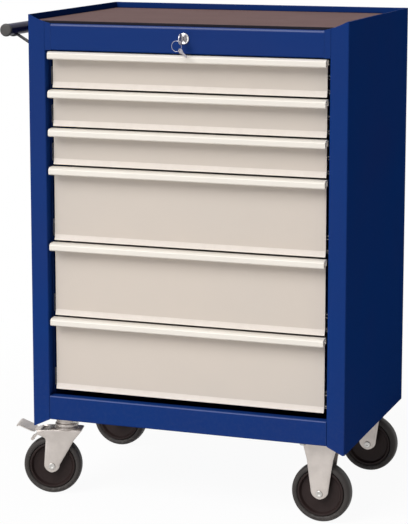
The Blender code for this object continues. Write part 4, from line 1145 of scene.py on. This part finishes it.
fork = {
    "crown": 0.144, "trail": 0.030, "front": 0.034, "knee": 0.0175, "kneeDrop": 0.0245, "back": 0.0425,
    "earReach": 0.062, "earDrop": 0.013, "rootDrop": 0.021, "foot": 0.0165, "footRise": 0.003,
    "crownBack": 0.040, "frontDrop": 0.004, "gap": 0.0003,
    # the bearing's parts as (radius, height over the crown)
    "race": [(0.007, -0.001), (0.0262, -0.001), (0.0262, 0.0004), (0.0240, 0.0022), (0.0238, 0.0028),
             (0.007, 0.0028)],
    "king": [(0, -0.0075), (0.0085, -0.0075), (0.0095, -0.0062), (0.0095, -0.0040), (0, -0.0040)],
    "cup": [(0.0090, 0.0032), (0.0222, 0.0032), (0.0244, 0.0044), (0.0249, 0.0072), (0.0244, 0.0100),
            (0.0222, 0.0118), (0.0218, 0.0150), (0.0232, 0.0170), (0.0236, 0.0200), (0.0224, 0.0258),
            (0.0090, 0.0258)],
}
# shoeTurn points from the wheel's centre to the shoe, in X and Z
pedal = {"pivotBack": 0.055, "pivot": 0.1375, "barrel": 0.0042, "barrelGap": 0.0022, "pin": 0.0024,
         "pinShort": 0.0010, "half": 0.025, "pinch": 0.084, "pinchFrom": 0.72, "arm": 0.013,
         "armBack": 0.004, "sheet": 0.0025, "rootBack": 0.066, "rootFall": 0.001, "tip": 0.100,
         "rise": 0.014, "lip": 0.0045, "bend": 0.003, "shoe": 0.0035, "shoeHalf": 0.013,
         "shoeClear": 0.0048, "shoeTurn": (-0.6, 0.8), "web": 0.002, "webHalf": 0.0125,
         "treadUnder": 0.0002, "treadCurl": 0.0006, "armUnder": 0.0004}
xAxis, yAxis = Vector((1, 0, 0)), Vector((0, 1, 0))


def mirrored(half):
    return half + [(radius, -along) for radius, along in reversed(half)]


def axleMesh():
    top, seat = leg["face"] + axle["height"], leg["face"] + axle["seat"]
    half = [(0, top - axle["dimpleDepth"]), (axle["dimple"], top - axle["dimpleDepth"]),
            (axle["dimpleRim"], top),
            *arcPoints((axle["head"] - axle["round"], top - axle["round"]), axle["round"], 90, 0, 4),
            (axle["head"], seat), (axle["radius"], seat)]
    return turnedMesh(mirrored(half), "Y", (0, 0), 40)


def edgeAt(points, height):
    # the X of a polyline of (x, z) at a height
    for (xLow, zLow), (xHigh, zHigh) in zip(points, points[1:]):
        if zLow <= height <= zHigh:
            return xLow + (xHigh - xLow) * (height - zLow) / max(zHigh - zLow, 1e-9)
    return points[-1][0] if height > points[-1][1] else points[0][0]


def legRows(leftEdge, rightEdge, foot, footZ, crownZ, crownLow, crownHigh):
    # rows from the near foot, up the leg, round the bend, over the crown and down the far side
    left, right = [roundedPath(edge, [leg["round"]] * (len(edge) - 2), 5) for edge in (leftEdge, rightEdge)]
    footX = (leftEdge[0][0] + rightEdge[0][0]) / 2
    face, bend = leg["face"], leg["bend"]
    legTop = crownZ - bend
    outward = Vector((0, -1, 0))
    rows = []
    for step in range(12):
        angle = leg["footTurn"] * (1 - step / 12)
        half = foot * math.cos(angle)
        rows.append((Vector((0, -face, footZ - foot * math.sin(angle))), outward, footX - half, footX + half))
    for step in range(25):
        height = footZ + (legTop - footZ) * step / 24
        rows.append((Vector((0, -face, height)), outward, edgeAt(left, height), edgeAt(right, height)))
    topLow, topHigh = edgeAt(left, crownZ), edgeAt(right, crownZ)
    for step in range(1, 8):
        share = step / 7
        angle = share * math.pi / 2
        normal = Vector((0, -math.cos(angle), math.sin(angle)))
        point = Vector((0, -face + bend, legTop)) + normal * bend
        rows.append((point, normal, topLow + (crownLow - topLow) * share,
                     topHigh + (crownHigh - topHigh) * share))
    rows.append((Vector((0, -face * 0.4, crownZ)), Vector((0, 0, 1)), crownLow, crownHigh))
    return rows + [(Vector((0, -origin.y, origin.z)), Vector((0, -normal.y, normal.z)), low, high)
                   for origin, normal, low, high in reversed(rows)]


def stackMesh(profile, centre, base, steps, radius=0):
    # a turned part on the swivel axis, with softened corners where a radius is given
    outline = [(reach, base + rise) for reach, rise in profile]
    return turnedMesh(softened(outline, radius, 2) if radius else outline, "Z", (centre.x, centre.y), steps)


def plateMesh(centre, top):
    x, y, corner = plate["length"] / 2, plate["width"] / 2, plate["corner"]
    outline = []
    for signX, signY, start in ((1, 1, 0), (-1, 1, 90), (-1, -1, 180), (1, -1, 270)):
        outline += arcPoints((signX * (x - corner), signY * (y - corner)), corner, start, start + 90, 6)
    place = Matrix.Translation((centre.x, centre.y, top - plate["thickness"] / 2))
    return flatPlate([outline], plate["thickness"], plate["bevel"], place)


boltPattern = hexBolt(**bolt)


def plateBolts(name, centre, bottom):
    heads = [(centre.x + signX * plate["boltX"], centre.y + signY * plate["boltY"], bottom)
             for signX in (-1, 1) for signY in (-1, 1)]
    grow(name, heads, fastenerTree, {"Fastener": boltPattern, "Facing": (math.pi, 0, 0), "Seed": 11},
         made["boltSteel"], "cabinet")


def casterPlace(prefix):
    roll = jointOf(prefix + "_roll")
    axis = Vector(roll["axis"])
    return Matrix.Translation(Vector(roll["pos_m"])) @ Matrix.Rotation(math.atan2(-axis.x, axis.y), 4, "Z")


def put(mesh, place):
    mesh.transform(place)
    return mesh


def buildWheel(prefix, place, carrier):
    tyre, core = [put(turnedMesh(mirrored(wheel[part]), "Y", (0, 0), wheel["segments"]), place)
                  for part in ("tyre", "core")]
    body = prefix + "_wheel"
    placePiece(prefix + "_tyre", tyre, [made["tyreRubber"]], body, 40, (body,))
    placePiece(prefix + "_core", core, [made["wheelCore"]], body, 32)
    placePiece(prefix + "_rivet", put(axleMesh(), place), [made["boltSteel"]], carrier, 40,
               (prefix + "_axle",))


def treadWidth(share, point):
    # the tread narrows a little towards its ends
    half = pedal["half"] - pedal["pinch"] * max(0, abs(share - 0.5) * 2 - pedal["pinchFrom"]) ** 2
    return -half, half


def pedalMesh(trail, base):
    # a rolled barrel on its pin, an arm, a wide tread and the brake shoe
    pivotX, pivotZ = trail - pedal["pivotBack"], pedal["pivot"] - base
    root = (trail - pedal["rootBack"], pivotZ - pedal["rootFall"])
    tip = (trail - pedal["tip"], pivotZ + pedal["rise"])
    tread = pathRows([root, tip, (tip[0] - pedal["lip"], tip[1] - pedal["lip"])], [pedal["bend"]], treadWidth)
    arm = pathRows([(pivotX, pivotZ), (root[0] - pedal["armBack"], root[1] + pedal["rootFall"])], [],
                   lambda share, point: (-pedal["arm"], pedal["arm"]))
    pinEnd = leg["face"] - pedal["pinShort"]
    barrelHalf = leg["face"] - leg["thickness"] - pedal["barrelGap"]
    barrel = [(0, pinEnd), (pedal["pin"], pinEnd), (pedal["pin"], barrelHalf), (pedal["barrel"], barrelHalf)]
    shoeCentre = Vector(pedal["shoeTurn"]) * (wheel["radius"] + pedal["shoeClear"] + pedal["shoe"])
    shoe = [(0, pedal["shoeHalf"]), (pedal["shoe"], pedal["shoeHalf"])]
    pivot = Vector((pivotX, pivotZ))
    run = (shoeCentre - pivot).normalized()
    side = Vector((-run.y, run.x)) * pedal["web"]
    web = [pivot + side, shoeCentre + side, shoeCentre - side, pivot - side]
    return joined([
        strapMesh(tread, yAxis, pedal["treadUnder"] - pedal["sheet"], pedal["treadCurl"]),
        strapMesh(arm, yAxis, pedal["armUnder"] - pedal["sheet"]),
        turnedMesh(mirrored(barrel), "Y", (pivotX, pivotZ), 28),
        turnedMesh(mirrored(shoe), "Y", shoeCentre, 24),
        prismMesh(web, "Y", -pedal["webHalf"], pedal["webHalf"]),
    ])


for end in ("front", "rear"):
    # rigid caster on the right
    prefix = end + "_right_caster"
    place = casterPlace(prefix)
    centre = place.translation
    buildWheel(prefix, place, "cabinet")
    topZ = rigid["plate"] - centre.z - rigid["gap"]
    rightEdge = [(rigid["foot"], rigid["footRise"]), (rigid["neck"], topZ - rigid["neckDrop"]),
                 (rigid["top"], topZ)]
    leftEdge = [(-x, z) for x, z in rightEdge]
    rows = legRows(leftEdge, rightEdge, rigid["foot"], rigid["footRise"], topZ, -rigid["top"], rigid["top"])
    legs = put(strapMesh(rows, xAxis, leg["thickness"], leg["curl"]), place)
    placePiece(prefix + "_bracket_pressed", joined([legs, plateMesh(centre, plate["top"])]),
               [made["zincSteel"]],
               "cabinet", 40, (prefix + "_bracket",))
    plateBolts(prefix + "_bolts", centre, rigid["plate"])

    # swivel caster with a brake on the left
    prefix = end + "_left_caster"
    place = casterPlace(prefix)
    buildWheel(prefix, place, prefix + "_fork")
    centre = Vector(jointOf(prefix + "_swivel")["pos_m"])
    base = place.translation.z
    crownZ = fork["crown"] - base - fork["gap"]
    frontX, earX = fork["trail"] + fork["front"], fork["trail"] - fork["earReach"]
    rightEdge = [(fork["foot"], fork["footRise"]), (fork["trail"] + fork["knee"], crownZ - fork["kneeDrop"]),
                 (frontX, crownZ - fork["frontDrop"]), (frontX, crownZ)]
    leftEdge = [(-fork["foot"], fork["footRise"]), (fork["trail"] - fork["back"], crownZ - fork["rootDrop"]),
                (earX, crownZ - fork["earDrop"]), (earX, crownZ)]
    rows = legRows(leftEdge, rightEdge, fork["foot"], fork["footRise"], crownZ,
                   fork["trail"] - fork["crownBack"], frontX)
    legs = put(strapMesh(rows, xAxis, leg["thickness"], leg["curl"]), place)
    race = stackMesh(fork["race"], centre, fork["crown"], 56, 0.0007)
    king = stackMesh(fork["king"], centre, fork["crown"], 32)
    placePiece(prefix + "_fork_pressed", joined([legs, race, king]), [made["zincSteel"]], prefix + "_fork",
               40, (prefix + "_fork",))
    cup = stackMesh(fork["cup"], centre, fork["crown"], 56, 0.0012)
    placePiece(prefix + "_plate_and_cup", joined([plateMesh(centre, plate["top"]), cup]), [made["zincSteel"]],
               "cabinet", 40, (prefix + "_plate",))
    plateBolts(prefix + "_bolts", centre, plate["top"] - plate["thickness"])
    placePiece(prefix + "_pedal_pressed", put(pedalMesh(fork["trail"], base), place), [made["zincSteel"]],
               prefix + "_pedal", 40, (prefix + "_pedal",))
print("Casters built")

for pattern in (rivetHead, screwHead, boltPattern):
    bpy.data.objects.remove(pattern)
